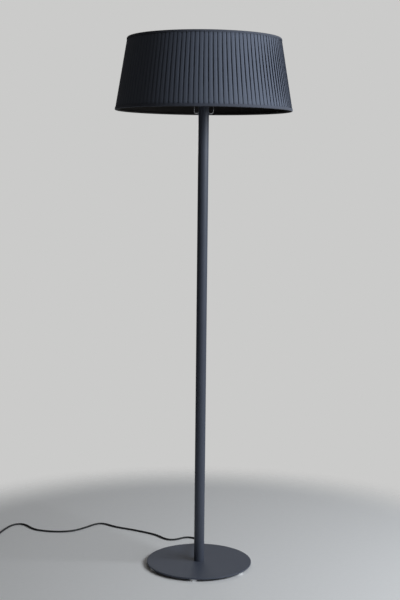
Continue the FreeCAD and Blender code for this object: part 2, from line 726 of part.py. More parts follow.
def make_exit():
    taper = "(relief_d - relief_tip_d) / 2"
    collar_end = POLE_R + " + relief_collar"
    ribs_len = "(relief_len - relief_collar)"
    points = [
        ("0", POLE_R + " - relief_collar"),
        ("relief_d / 2", POLE_R + " - relief_collar"),
        ("relief_d / 2", collar_end),
    ]
    for ring in range(RELIEF_RINGS):
        for part, depth in ((0, 1), (GROOVE_SHARE, 1), (GROOVE_SHARE, 0), (1, 0)):
            share = (ring + part) / RELIEF_RINGS
            radius = "relief_d / 2 - %s * %.4f - relief_groove * %d" % (taper, share, depth)
            points.append((radius, "%s + %s * %.4f" % (collar_end, ribs_len, share)))
    points.append(("0", POLE_R + " + relief_len"))
    sleeve = place(turned("relief_sleeve", points), z="exit_z", rotation=TO_BACK)
    pole_face = rod("relief_saddle", POLE_R + " + skin_gap", "relief_d * 2", z="exit_z - relief_d")
    seated = cut("relief_seated", sleeve, [pole_face])
    lip_in = BORE_R + " - relief_lip_gap - relief_lip"
    neck = turned("relief_neck", [
        ("0", lip_in),
        ("relief_lip_d / 2", lip_in),
        ("relief_lip_d / 2", BORE_R + " - relief_lip_gap"),
        ("relief_hole_d / 2 - fit_gap", BORE_R + " - relief_lip_gap"),
        ("relief_hole_d / 2 - fit_gap", POLE_R + " + relief_collar / 2"),
        ("0", POLE_R + " + relief_collar / 2"),
    ])
    place(neck, z="exit_z", rotation=TO_BACK)
    keep(joined("cord_strain_relief", [seated, neck]))

    front = -value("cable_shift")
    low = [
        Vector(0, value(lip_in), value("exit_z")),
        Vector(0, front, value("exit_z")),
        Vector(0, front, value("button_z - tabs_h / 2")),
    ]
    keep(formed("inner_cable_lower", bent_tube(low, value("cord_d / 2"), value("cable_bend"))))
    entry = value(HOOD_TOP + " + block_h / 2")
    high = [
        Vector(0, front, value("button_z + tabs_h / 2")),
        Vector(0, front, entry),
        Vector(-value("block_x"), front, entry),
    ]
    keep(formed("inner_cable_upper", bent_tube(high, value("cord_d / 2"), value("cable_top_bend"))))


# Push-button switch at the back of the pole

def make_switch():
    bezel = turned("switch_bezel", [
        ("0", POLE_R + " - bezel_seat"),
        ("bezel_d / 2", POLE_R + " - bezel_seat"),
        ("bezel_d / 2", BEZEL_FACE + " - bezel_bevel"),
        ("bezel_d / 2 - bezel_bevel", BEZEL_FACE),
        ("0", BEZEL_FACE),
    ])
    place(bezel, z="button_z", rotation=TO_BACK)
    pole_face = rod("switch_saddle", POLE_R + " + skin_gap", "bezel_d * 2", z="button_z - bezel_d")
    seated = cut("switch_seated", bezel, [pole_face])
    barrel = rod("switch_barrel", "barrel_d / 2", "barrel_len - bezel_h / 2", y=BARREL_END, z="button_z",
                 rotation=TO_BACK)
    tabs = block("switch_tabs", "tabs_w", "tabs_t", "tabs_h", "-tabs_w / 2", BARREL_END + " - tabs_t",
                 "button_z - tabs_h / 2")
    whole = joined("switch_blank", [seated, barrel, tabs])
    bore = rod("switch_bore", "button_d / 2 + button_gap", "bore_len * 2", y=BORE_FLOOR, z="button_z",
               rotation=TO_BACK)
    keep(cut("switch_body", whole, [bore]))

    inner_end = BORE_FLOOR + " + button_travel + button_gap * 2"
    button = turned("power_button", [
        ("0", inner_end),
        ("button_d / 2", inner_end),
        ("button_d / 2", BEZEL_FACE + " + button_proud - bezel_bevel"),
        ("button_d / 2 - bezel_bevel", BEZEL_FACE + " + button_proud"),
        ("0", BEZEL_FACE + " + button_proud"),
    ])
    keep(place(button, z="button_z", rotation=TO_BACK))


# Head: flange, set screws, hood, reflector

def make_head():
    flange = turned("head_flange_blank", [
        (SPIGOT_IN, POLE_TOP + " - spigot_len"),
        (SPIGOT_R, POLE_TOP + " - spigot_len"),
        (SPIGOT_R, POLE_TOP),
        ("flange_d / 2", POLE_TOP),
        ("flange_d / 2", POLE_TOP + " + flange_t"),
        (SPIGOT_IN, POLE_TOP + " + flange_t"),
    ])
    screw_r = "hood_screw_d / 2 + fit_gap"
    drilled(flange, "hood_holes", screw_r, HOOD_SCREW_R, POLE_TOP + " + flange_t", "flange_t",
            HOOD_SCREWS, HOOD_SCREW_START)
    holes = set_screw_rods("flange_set_hole", "set_screw_d / 2 + fit_gap", "0", "pole_d")
    keep(cut("head_flange", flange, holes))
    length = "pole_wall + fit_gap + spigot_wall"
    pins = set_screw_rods("flange_set_screw", "set_screw_d / 2", SPIGOT_IN, length)
    keep(group("flange_set_screws", pins))

    shoulder_in = "hood_t * %.4f" % math.tan(math.pi / 8)
    hood = turned("hood", [
        (HOOD_R, HOOD_LOW),
        (HOOD_R, HOOD_TOP + " - hood_slope"),
        (HOOD_R + " - hood_slope", HOOD_TOP),
        ("hood_eye_d / 2", HOOD_TOP),
        ("hood_eye_d / 2", HOOD_TOP + " - hood_t"),
        (HOOD_R + " - hood_slope - " + shoulder_in, HOOD_TOP + " - hood_t"),
        (HOOD_R + " - hood_t", HOOD_TOP + " - hood_slope - " + shoulder_in),
        (HOOD_R + " - hood_t", HOOD_LOW + " + hood_t"),
        (HOOD_R + " - hood_lip", HOOD_LOW + " + hood_t"),
        (HOOD_R + " - hood_lip", HOOD_LOW),
    ])
    roof = HOOD_TOP
    drilled(hood, "flange_holes", screw_r, HOOD_SCREW_R, roof, "hood_t * 2",
            HOOD_SCREWS, HOOD_SCREW_START)
    drilled(hood, "box_holes", "box_screw_d / 2 + fit_gap", BOX_SCREW_R, roof, "hood_t * 2",
            BOX_SCREWS, BOX_SCREW_START)
    lip_r = "mirror_screw_d / 2 + fit_gap"
    drilled(hood, "lip_holes", lip_r, MIRROR_SCREW_R, HOOD_LOW + " + hood_t", "hood_t",
            MIRROR_SCREWS, MIRROR_SCREW_START)
    for number, angle in enumerate(lead_angles(), 1):
        drilled(hood, "lead_holes_%d" % number, "lead_hole_d / 2", "lead_ring_d / 2", roof, "hood_t * 2",
                len(TUBE_ANGLES), angle)
    keep(hood)
    spots = [polar(HOOD_SCREW_R, angle) for angle in angles(HOOD_SCREWS, HOOD_SCREW_START)]
    screws("hood_screws", spots, "hood_screw_d / 2", "hood_screw_head_d / 2", HOOD_TOP, "hood_screw_head_h",
           "hood_t + flange_t")

    mirror = turned("reflector", [
        (LIP_R, MIRROR_LOW),
        (LIP_R, HOOD_LOW),
        (MOUTH_R, HOOD_LOW),
        (ROOF_R, MIRROR_TOP),
        (POLE_R + " + mirror_eye_gap", MIRROR_TOP),
        (POLE_R + " + mirror_eye_gap", ROOF_UNDER),
        (ROOF_R + " - mirror_t", ROOF_UNDER),
        (MOUTH_R + " - mirror_t", MIRROR_LOW),
    ])
    drilled(mirror, "lip_holes", lip_r, MIRROR_SCREW_R, HOOD_LOW, "mirror_t",
            MIRROR_SCREWS, MIRROR_SCREW_START)
    reach = "sqrt(tube_offset ^ 2 + %s ^ 2)" % LEAD_ALONG
    for number, angle in enumerate(lead_angles(), 1):
        drilled(mirror, "lead_holes_%d" % number, "lead_hole_d / 2", reach, MIRROR_TOP, "mirror_t",
                len(TUBE_ANGLES), angle)
    keep(mirror)


def lead_angles():
    """Angles of the first tube's two leads, as seen from the axis."""
    swing = math.degrees(math.atan2(value(LEAD_ALONG), value("tube_offset")))
    return [TUBE_ANGLES[0] - swing, TUBE_ANGLES[0] + swing]


# Heating tubes with strips, caps, brackets and leads

def on_tube(angle, along, out="0"):
    """X and Y of a point along a tube, and out from its axis."""
    spread = "(tube_offset + %s)" % out
    x = "%s * cos(%g) - (%s) * sin(%g)" % (spread, angle, along, angle)
    y = "%s * sin(%g) + (%s) * cos(%g)" % (spread, angle, along, angle)
    return x, y


def tube_block(name, angle, size, along, low):
    """Block lying along a tube, centred across it, from a place along the tube and a height."""
    length, width, height = size
    x, y = on_tube(angle, along, "(%s) / 2" % width)
    return block(name, length, width, height, x, y, low, Rotation(UP, angle + 90))


def make_tubes():
    strips = []
    ends = []
    brackets = []
    leads = []
    for number, angle in enumerate(TUBE_ANGLES, 1):
        heading = Vector(-math.sin(math.radians(angle)), math.cos(math.radians(angle)), 0)
        lying = Rotation(UP, heading)
        start_x, start_y = on_tube(angle, "-tube_len / 2")
        tube = turned("quartz_tube_%d" % number, [
            ("tube_d / 2 - tube_wall", "0"),
            ("tube_d / 2", "0"),
            ("tube_d / 2", "tube_len"),
            ("tube_d / 2 - tube_wall", "tube_len"),
        ])
        keep(place(tube, start_x, start_y, TUBE_Z, lying))
        strip_size = ("tube_len", "strip_w", "strip_t")
        strip_low = TUBE_Z + " - strip_t / 2"
        strips.append(tube_block("carbon_strip_%d" % number, angle, strip_size, "-tube_len / 2", strip_low))

        seat_r = "tube_d / 2 + fit_gap"
        seat = rod("cap_seat_%d" % number, seat_r, "tube_len", start_x, start_y, TUBE_Z, lying)
        caps = []
        for end, along in (("a", CAP_IN), ("b", "-%s - cap_len" % CAP_IN)):
            stem = "%d%s" % (number, end)
            cap_size = ("cap_len", "cap_w", "cap_w")
            caps.append(tube_block("cap_blank_" + stem, angle, cap_size, along, TUBE_Z + " - cap_w / 2"))
            side = along if end == "a" else "-%s - bracket_w" % CAP_IN
            brackets.append(tube_bracket(stem, angle, side))
            lead_place = LEAD_ALONG if end == "a" else "-" + LEAD_ALONG
            leads.append(heater_lead(stem, angle, lead_place))
        ends.append(cut("tube_ends_%d" % number, group("cap_blanks_%d" % number, caps), [seat]))
    keep(group("carbon_strips", strips))
    keep(group("tube_caps", ends))
    keep(group("tube_brackets", brackets))
    keep(group("heater_leads", leads))


def tube_bracket(stem, angle, along):
    """Bracket that hangs a cap under the reflector's roof and grips its sides."""
    low = TUBE_Z + " - bracket_reach"
    cap_top = TUBE_Z + " + cap_w / 2 + fit_gap"
    wide = "cap_w + 2 * fit_gap"
    outer_size = ("bracket_w", wide + " + 2 * bracket_t", "tube_drop + bracket_reach")
    outer = tube_block("bracket_blank_" + stem, angle, outer_size, along, low)
    grip_size = ("bracket_w", wide, "bracket_reach + cap_w / 2 + fit_gap")
    grip = tube_block("bracket_grip_" + stem, angle, grip_size, along, low)
    window_size = ("bracket_w", wide, "tube_drop - cap_w / 2 - fit_gap - 2 * bracket_t")
    window = tube_block("bracket_window_" + stem, angle, window_size, along, cap_top + " + bracket_t")
    return cut("tube_bracket_" + stem, outer, [grip, window])


def heater_lead(stem, angle, along):
    """Lead from a cap's top, over the reflector, to the junction box."""
    x, y = (value(text) for text in on_tube(angle, along))
    inward = value("lead_ring_d / 2") / math.hypot(x, y)
    level = value(MIRROR_TOP + " + lead_rise")
    points = [
        Vector(x, y, value(TUBE_Z + " + cap_w / 2")),
        Vector(x, y, level),
        Vector(x * inward, y * inward, level),
        Vector(x * inward, y * inward, value(HOOD_TOP + " + lead_end")),
    ]
    return formed("heater_lead_" + stem, bent_tube(points, value("lead_d / 2"), value("lead_bend")))


# Wire guard with a dropped middle, clips and screws

def make_guard():
    wire_r = "guard_wire_d / 2"
    inner_r = "(%s - guard_pitch * %d)" % (GUARD_R, GUARD_RINGS - 1)
    wires = []
    for step in range(GUARD_RINGS):
        radius = "%s - guard_pitch * %d" % (GUARD_R, step)
        wires.append(wire_ring("guard_ring_%d" % (step + 1), radius, wire_r, GUARD_Z))
    for number, angle in enumerate(angles(GUARD_SPOKES), 1):
        x, y = polar(inner_r + " - " + wire_r, angle)
        outward = Rotation(UP, Vector(math.cos(math.radians(angle)), math.sin(math.radians(angle)), 0))
        length = "%s + guard_wire_d - %s" % (GUARD_R, inner_r)
        wires.append(rod("guard_spoke_%d" % number, wire_r, length, x, y, SPOKE_Z, outward))
    keep(group("wire_guard", wires))

    keep(turned("guard_collar", [
        (POLE_R + " + fit_gap", "rim_z - basket_low - collar_h / 2"),
        (POLE_R + " + collar_t", "rim_z - basket_low - collar_h / 2"),
        (POLE_R + " + collar_t", "rim_z - basket_low + collar_h / 2"),
        (POLE_R + " + fit_gap", "rim_z - basket_low + collar_h / 2"),
    ]))
    basket = []
    level = value(SPOKE_Z + " - skin_gap")
    low = value("rim_z - basket_low")
    path = [
        Vector(value(inner_r + " + " + wire_r), 0, level),
        Vector(value("basket_d / 2"), 0, level),
        Vector(value("basket_d / 2 - basket_slant"), 0, low),
        Vector(value(POLE_R + " + collar_t"), 0, low),
    ]
    wire = bent_tube(path, value(wire_r), value("basket_bend"))
    for number, angle in enumerate(BASKET_ANGLES, 1):
        bent = wire.copy()
        bent.rotate(Vector(), UP, angle)
        basket.append(formed("basket_wire_%d" % number, bent))
    keep(group("guard_basket", basket))

    clips = []
    spots = []
    for number, angle in enumerate(angles(MIRROR_SCREWS, MIRROR_SCREW_START), 1):
        out = Vector(math.cos(math.radians(angle)), math.sin(math.radians(angle)), 0)
        inner_end = LIP_R + " - clip_in - clip_deep"
        x = "(%s) * %.9f + clip_len / 2 * %.9f" % (inner_end, out.x, out.y)
        y = "(%s) * %.9f - clip_len / 2 * %.9f" % (inner_end, out.y, out.x)
        blank = block("clip_blank_%d" % number, "clip_deep", "clip_len", "clip_h",
                      x, y, MIRROR_LOW + " - clip_h", Rotation(UP, angle))
        spot = polar(MIRROR_SCREW_R, angle)
        spots.append(spot)
        hole = rod("clip_hole_%d" % number, "mirror_screw_d / 2 + fit_gap", "clip_h", spot[0], spot[1],
                   MIRROR_LOW + " - clip_h")
        groove_x = "%s * %.9f + clip_len * %.9f" % (GUARD_R, out.x, out.y)
        groove_y = "%s * %.9f - clip_len * %.9f" % (GUARD_R, out.y, out.x)
        groove = rod("clip_groove_%d" % number, wire_r + " + 2 * fit_gap", "clip_len * 2",
                     groove_x, groove_y, GUARD_Z, Rotation(UP, UP.cross(out)))
        clips.append(cut("guard_clip_%d" % number, blank, [groove, hole]))
    keep(group("guard_clips", clips))
    length = "clip_h + mirror_t + hood_t + mirror_screw_bite"
    screws("reflector_screws", spots, "mirror_screw_d / 2", "mirror_screw_head_d / 2",
           MIRROR_LOW + " - clip_h", "mirror_screw_head_h", length, head_up=False)


# Junction box on the hood, with its seal, screws and terminal block

def make_box():
    inner_r = "box_d / 2 - box_wall"
    lip_top = BOX_LOW + " + box_wall"
    cover = turned("junction_cover", [
        (inner_r, BOX_LOW),
        ("box_lip_d / 2", BOX_LOW),
        ("box_lip_d / 2", lip_top),
        ("box_d / 2", lip_top),
        ("box_d / 2", BOX_TOP),
        ("stud_d / 2 + fit_gap", BOX_TOP),
        ("stud_d / 2 + fit_gap", BOX_TOP + " - box_wall"),
        (inner_r, BOX_TOP + " - box_wall"),
    ])
    rounded(cover, "top", "box_round", "box_d / 2", [BOX_TOP])
    screw_r = "box_screw_d / 2 + fit_gap"
    drilled(cover, "lip_holes", screw_r, BOX_SCREW_R, lip_top, "box_wall",
            BOX_SCREWS, BOX_SCREW_START)
    keep(cover)
    seal = turned("junction_seal", [
        (inner_r, HOOD_TOP),
        ("box_lip_d / 2", HOOD_TOP),
        ("box_lip_d / 2", BOX_LOW),
        (inner_r, BOX_LOW),
    ])
    drilled(seal, "holes", screw_r, BOX_SCREW_R, BOX_LOW, "seal_t", BOX_SCREWS, BOX_SCREW_START)
    keep(seal)
    spots = [polar(BOX_SCREW_R, angle) for angle in angles(BOX_SCREWS, BOX_SCREW_START)]
    length = "box_wall + seal_t + hood_t + box_screw_bite"
    screws("cover_screws", spots, "box_screw_d / 2", "box_screw_head_d / 2", lip_top,
           "box_screw_head_h", length)
    keep(block("terminal_block", "block_w", "block_len", "block_h",
               "-block_x - block_w", "-block_len / 2", HOOD_TOP))


# Tip-over switch: bracket, pin, pendulum, micro switch

def make_tip_switch():
    pivot_z = HOOD_TOP + " + tip_pivot_h"
    wide = "tip_span + 2 * tip_t"
    channel = block("tip_channel", "tip_w", wide, "tip_h",
                    "tip_x - tip_w / 2", "-(%s) / 2" % wide, HOOD_TOP)
    inside = block("tip_inside", "tip_w", "tip_span", "tip_h", "tip_x - tip_w / 2", "-tip_span / 2",
                   HOOD_TOP + " + tip_t")
    eye = rod("tip_eye", "tip_pin_d / 2 + fit_gap / 2", "tip_span * 2",
              "tip_x", "-tip_span", pivot_z, TO_BACK)
    keep(cut("tip_bracket", channel, [inside, eye]))
    pin_len = "(%s + 2 * tip_pin_over)" % wide
    keep(rod("tip_pin", "tip_pin_d / 2", pin_len, "tip_x", "-%s / 2" % pin_len, pivot_z, TO_BACK))

    boss = rod("tip_boss", "tip_boss_d / 2", "tip_boss_len", "tip_x", "-tip_boss_len / 2", pivot_z, TO_BACK)
    arm = block("tip_arm", "tip_arm_w", "tip_bob_len / 2", "tip_arm_len", "tip_x - tip_arm_w / 2",
                "-tip_bob_len / 4", pivot_z + " - tip_arm_len")
    bob = rod("tip_bob", "tip_bob_d / 2", "tip_bob_len",
              "tip_x", "-tip_bob_len / 2", pivot_z + " - tip_arm_len", TO_BACK)
    whole = joined("tip_pendulum_blank", [boss, arm, bob])
    bore = rod("tip_bore", "tip_pin_d / 2 + fit_gap", "tip_span",
               "tip_x", "-tip_span / 2", pivot_z, TO_BACK)
    keep(cut("tip_pendulum", whole, [bore]))
    keep(block("micro_switch", "micro_len", "micro_w", "micro_h", "tip_x - micro_len / 2",
               "(%s) / 2 + tip_pin_over + fit_gap" % wide, HOOD_TOP))


# Shade: carrier, rings, liner, pleated cloth, bindings

def make_carrier():
    stud_low = BOX_TOP + " - box_wall - stud_head_h"
    stud_top = HUB_TOP + " + nut_gap + nut_h - stud_short"
    keep(turned("carrier_stud", [
        ("0", stud_low),
        ("stud_head_d / 2", stud_low),
        ("stud_head_d / 2", BOX_TOP + " - box_wall"),
        ("stud_d / 2", BOX_TOP + " - box_wall"),
        ("stud_d / 2", stud_top),
        ("0", stud_top),
    ]))
    keep(turned("carrier_hub", [
        ("stud_d / 2 + fit_gap", BOX_TOP),
        ("hub_d / 2", BOX_TOP),
        ("hub_d / 2", HUB_TOP),
        ("stud_d / 2 + fit_gap", HUB_TOP),
    ]))
    nut_low = HUB_TOP + " + nut_gap"
    nut_top = nut_low + " + nut_h"
    crown = "stud_short / 2"
    bore_r = "stud_d / 2 + stud_gap"
    nut = turned("finial_nut_blank", [
        (bore_r, nut_low),
        ("nut_d / 2 - nut_bevel", nut_low),
        ("nut_d / 2", nut_low + " + nut_bevel"),
        ("nut_d / 2", nut_top + " - nut_bevel"),
        ("nut_d / 2 - nut_bevel", nut_top),
        ("0", nut_top),
        ("0", nut_top + " - " + crown),
        (bore_r, nut_top + " - " + crown),
    ])
    flutes = []
    for number, angle in enumerate(angles(NUT_FLUTES), 1):
        x, y = polar("nut_d / 2 + nut_flute_out", angle)
        flutes.append(rod("nut_flute_%d" % number, "nut_flute_d / 2", "nut_h", x, y, nut_low))
    keep(cut("finial_nut", nut, flutes))

    top_z = SHADE_TOP + " - ring_drop"
    low_z = "rim_z + ring_drop"
    keep(wire_ring("shade_top_ring", shade_r(top_z, RING_IN), "ring_d / 2", top_z))
    keep(wire_ring("shade_bottom_ring", shade_r(low_z, RING_IN), "ring_d / 2", low_z))
    doc.recompute()
    level = value(BOX_TOP + " + hub_t / 2")
    path = [
        Vector(value("hub_d / 2"), 0, level),
        Vector(value("arm_knee_d / 2"), 0, level),
        Vector(value(shade_r(top_z, RING_IN)), 0, value(top_z)),
    ]
    wire = bent_tube(path, value("arm_d / 2"), value("arm_bend"))
    room = Part.makeTorus(value(shade_r(top_z, RING_IN)), value("ring_d / 2 + skin_gap"))
    room.translate(Vector(0, 0, value(top_z)))
    arms = []
    for number, angle in enumerate(ARM_ANGLES, 1):
        arm = wire.copy()
        arm.rotate(Vector(), UP, angle)
        arms.append(formed("carrier_arm_%d" % number, arm.cut(room).Solids[0]))
    keep(group("carrier_arms", arms))


def pleat_points(height):
    """Corners of the pleats round the shade at a height: each crest, then the fold beside it."""
    crest = value(shade_r(height, PLEAT_IN))
    fold = crest - value("pleat_depth")
    points = []
    for number in range(PLEATS):
        for radius, shift in ((crest, 0), (fold, PLEAT_FOLD)):
            angle = 2 * math.pi * (number + shift) / PLEATS
            points.append(Vector(radius * math.cos(angle), radius * math.sin(angle), value(height)))
    return points + points[:1]


def back_outline(height):
    """Many-sided outline of the cloth's back at a height, with a corner behind each fold."""
    radius = value(shade_r(height, CLOTH_IN))
    turns = [math.radians(angle) for angle in angles(PLEATS, 360 * PLEAT_FOLD / PLEATS)]
    corners = [Vector(radius * math.cos(turn), radius * math.sin(turn), value(height)) for turn in turns]
    return Part.makePolygon(corners + corners[:1])


def make_shade():
    rims = [Part.makePolygon(pleat_points(height)) for height in (LAYER_LOW, LAYER_TOP)]
    outside = Part.makeLoft(rims, True, True)
    inside = Part.makeLoft([back_outline(height) for height in (LAYER_LOW, LAYER_TOP)], True, True)
    keep(formed("shade_cloth", outside.cut(inside).Solids[0]))
    keep(turned("shade_liner", [
        (shade_r(LAYER_LOW, LINER_OUT), LAYER_LOW),
        (shade_r(LAYER_TOP, LINER_OUT), LAYER_TOP),
        (shade_r(LAYER_TOP, LINER_IN), LAYER_TOP),
        (shade_r(LAYER_LOW, LINER_IN), LAYER_LOW),
    ]))
    make_binding("shade_bottom_binding", "rim_z", "rim_z + binding_t", "rim_z + binding_h")
    make_binding("shade_top_binding", SHADE_TOP, SHADE_TOP + " - binding_t", SHADE_TOP + " - binding_h")


def make_binding(label, edge, web, hem):
    """Band folded over a rim, from its edge and the inside of its fold to its two hems."""
    far = LEG_IN + " + binding_t"
    keep(turned(label, [
        (shade_r(edge, "0"), edge),
        (shade_r(hem, "0"), hem),
        (shade_r(hem, "binding_t"), hem),
        (shade_r(web, "binding_t"), web),
        (shade_r(web, LEG_IN), web),
        (shade_r(hem, LEG_IN), hem),
        (shade_r(hem, far), hem),
        (shade_r(edge, far), edge),
    ]))


# Mains cord: free run, coil, tie, tail, plug

def coil_middle(start, heading):
    """Middle of the coil, and the angle at which its outer turn starts."""
    radius = value("coil_r")
    lean = math.atan(value("coil_step") / (2 * math.pi * radius))
    first = math.atan2(heading.y, heading.x) + math.pi / 2 + lean
    return start - Vector(math.cos(first), math.sin(first), 0) * radius, first


def coil_place(turns, start, heading):
    """Point of the coil after some turns: in on the lower layer, up half a turn, out on the upper."""
    radius = value("coil_r")
    step = value("coil_step")
    middle, first = coil_middle(start, heading)
    climb = min(max((turns - COIL_TURNS) * 2, 0), 1)
    inward = min(turns, COIL_TURNS) - max(turns - COIL_TURNS - 0.5, 0)
    angle = first - 2 * math.pi * turns
    out = radius - step * inward - step / 2 * (climb - climb ** 2)
    rise = step * climb ** 2 * (3 - 2 * climb)
    return middle + Vector(out * math.cos(angle), out * math.sin(angle), rise)


def coil_heading(turns, start, heading, last):
    """Direction of the coil after some turns."""
    nudge = 1e-4
    ahead = coil_place(min(turns + nudge, last), start, heading)
    behind = coil_place(max(turns - nudge, 0), start, heading)
    return unit(ahead - behind)


def make_cord():
    radius = value("cord_d / 2")
    tip = Vector(0, value(POLE_R + " + relief_len"), value("exit_z"))
    floor = value("cord_d / 2 + cord_lift")
    raised = value("cord_d / 2 + coil_lift")
    route = [tip] + [tip + Vector(0, back, -down) for back, down in CORD_FALL]
    route += [Vector(x, y, floor) for x, y in CORD_ON_FLOOR]
    route += [Vector(x, y, raised) for x, y in CORD_TO_COIL]
    edges, radii = run_edges(route)
    print("cord run: arc radii", [round(size, 1) for size in radii])
    lead_length = Part.Wire(edges).Length
    keep(formed("cord_lead", swept(edges, radius)))

    heading = unit(route[-1] - route[-2])
    start = route[-1] + heading * value("cord_d")
    last = COIL_TURNS * 2 + 0.5
    stops = [quarter / 4 for quarter in range(int(last * 4) + 1)]
    edges = [Part.LineSegment(route[-1], start).toShape()]
    for begin, end in zip(stops, stops[1:]):
        edges += biarc(coil_place(begin, start, heading), coil_heading(begin, start, heading, last),
                       coil_place(end, start, heading), coil_heading(end, start, heading, last))
    coil_end = coil_place(last, start, heading)
    leaving = coil_heading(last, start, heading, last)
    tail_start = coil_end + leaving * value("cord_d")
    edges.append(Part.LineSegment(coil_end, tail_start).toShape())
    coil_length = Part.Wire(edges).Length
    keep(formed("cord_coil", swept(edges, radius)))
    print("coil: least gap to itself %.2f" % coil_gap(start, heading, last))

    make_tie(coil_middle(start, heading)[0], start.z)
    lift = Vector(0, 0, value("plug_lift") - tail_start.z)
    tail = [tail_start + leaving * (value("tail_len") * share) + lift * up
            for share, up in ((0, 0), (1 / 3, 0), (2 / 3, 1), (1, 1))]
    edges, radii = run_edges(tail)
    keep(formed("cord_tail", swept(edges, radius)))
    print("cord tail: arc radii", [round(size, 1) for size in radii])
    print("cord length", round(lead_length + coil_length + Part.Wire(edges).Length))
    make_plug(tail[-1], leaving)
    print("plug: back at (%.4f, %.4f, %.4f)" % tuple(tail[-1]))
    print("plug: heading (%.6f, %.6f, %.6f)" % tuple(leaving))


def coil_gap(start, heading, last):
    """Least gap between turns of the coil, on points along it."""
    count = int(last * GAP_SAMPLES)
    spots = [coil_place(last * step / count, start, heading) for step in range(count + 1)]
    apart = GAP_SAMPLES // 3
    nearest = min((spots[one] - spots[two]).Length
                  for one in range(count + 1) for two in range(one + apart, count + 1))
    return nearest - value("cord_d")


def make_tie(middle, low):
    """Strap round the coil's turns on the side towards the front."""
    reach = value("cord_d / 2 + tie_gap")
    turns = (TIE_TURN, COIL_TURNS - (0.5 - TIE_TURN))
    out, inner = (value("coil_r") - value("coil_step") * turn for turn in turns)
    half_tall = value("coil_step / 2") + reach
    size = Vector(value("tie_w"), out - inner + 2 * reach, 2 * half_tall)
    corner = Vector(middle.x - size.x / 2, middle.y - out - reach, low - reach)
    thick = value("tie_t")
    hole = Part.makeBox(size.x, size.y, size.z, corner)
    grown = Vector(0, thick, thick)
    band = Part.makeBox(size.x, size.y + 2 * thick, size.z + 2 * thick, corner - grown)
    long_edges = [edge for edge in band.Edges if abs(edge.tangentAt(edge.FirstParameter).x) > 0.9]
    keep(formed("cord_tie", band.makeFillet(reach / 2, long_edges).cut(hole)))


def make_plug(back, heading):
    """Plug lying on the floor, from the end of the tail."""
    across = UP.cross(heading)
    turn = Rotation(across, UP, heading, "ZXY")
    shift = {"x": "%.6f" % back.x, "y": "%.6f" % back.y, "z": "%.6f" % back.z, "rotation": turn}
    grip_start = "plug_boot_len + plug_step"
    grip_end = "plug_len - plug_face_len - plug_flare"
    body = place(turned("plug_blank", [
        ("0", "0"),
        ("plug_boot_tip_d / 2", "0"),
        ("plug_boot_d / 2", "plug_boot_len"),
        ("plug_waist_d / 2", grip_start),
        ("plug_grip_d / 2", grip_end),
        ("plug_d / 2", "plug_len - plug_face_len"),
        ("plug_d / 2", "plug_len"),
        ("0", "plug_len"),
    ]), **shift)
    notches = []
    clips = []
    pins = []
    for number, side in enumerate((1, -1), 1):
        bottom = value("plug_d / 2 - notch_deep")
        low = back + UP * (side * bottom)
        notch_low = low if side > 0 else low - UP * value("notch_deep")
        clip_low = low if side > 0 else low - UP * value("earth_t")
        for pieces, stem, wide, tall, foot in ((notches, "plug_notch", "notch_w", "notch_deep", notch_low),
                                               (clips, "earth_clip", "earth_w", "earth_t", clip_low)):
            corner = foot - across * (value(wide) / 2) + heading * value("plug_len - notch_len")
            pieces.append(block("%s_%d" % (stem, number), wide, tall, "notch_len",
                                "%.6f" % corner.x, "%.6f" % corner.y, "%.6f" % corner.z, turn))
        root = back + across * (side * value("pin_span / 2")) + heading * value("plug_len")
        pins.append(rod("plug_pin_%d" % number, "pin_d / 2", "pin_len",
                        "%.6f" % root.x, "%.6f" % root.y, "%.6f" % root.z, turn))
    keep(cut("plug_body", body, notches))
    keep(group("plug_pins", pins))
    keep(group("plug_earth_clips", clips))


make_base()
make_pole()
make_exit()
make_switch()
make_head()
make_tubes()
make_guard()
make_box()
make_tip_switch()
make_carrier()
make_shade()
make_cord()
doc.recompute()

for thing in doc.Objects:
    if "Invalid" in thing.State or "Error" in thing.State:
        raise RuntimeError(thing.Name + " did not build")
for label, thing in nodes.items():
    if thing.Shape.isNull() or not thing.Shape.isValid():
        raise RuntimeError(label + " has no sound shape")
os.makedirs("parts", exist_ok=True)
for label, thing in nodes.items():
    thing.Shape.exportStep("parts/%s.step" % label)
print(len(nodes), "sub-parts written")
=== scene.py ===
# %% [markdown]
# # An electric patio heater that looks like a floor lamp
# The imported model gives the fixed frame: base, pole, head, guard, switch and plug, all in metres.
# This lesson dresses that frame. It makes the soft pieces, which are the mains cord, the pleated
# shade and its bindings, and it gives every surface a finish built from nodes. The frame itself
# is never moved or changed.

# %% Load the frame
import json
import math

import bmesh
import bpy
from mathutils import Matrix, Vector


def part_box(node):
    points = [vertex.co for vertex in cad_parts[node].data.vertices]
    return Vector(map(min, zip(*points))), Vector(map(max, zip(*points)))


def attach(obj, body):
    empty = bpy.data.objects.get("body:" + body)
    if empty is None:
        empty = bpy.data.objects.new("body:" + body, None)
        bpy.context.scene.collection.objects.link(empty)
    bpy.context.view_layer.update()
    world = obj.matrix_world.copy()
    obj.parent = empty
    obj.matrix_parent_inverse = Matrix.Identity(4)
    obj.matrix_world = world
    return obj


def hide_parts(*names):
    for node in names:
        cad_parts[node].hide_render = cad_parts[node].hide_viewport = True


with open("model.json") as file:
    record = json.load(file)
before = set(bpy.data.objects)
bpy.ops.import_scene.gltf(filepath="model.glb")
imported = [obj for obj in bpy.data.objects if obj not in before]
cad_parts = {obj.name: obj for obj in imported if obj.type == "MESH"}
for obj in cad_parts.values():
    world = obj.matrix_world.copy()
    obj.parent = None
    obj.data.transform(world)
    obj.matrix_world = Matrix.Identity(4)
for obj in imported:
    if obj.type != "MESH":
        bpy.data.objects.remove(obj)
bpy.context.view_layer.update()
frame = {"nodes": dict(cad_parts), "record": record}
nodes = frame["nodes"]
scene = bpy.context.scene

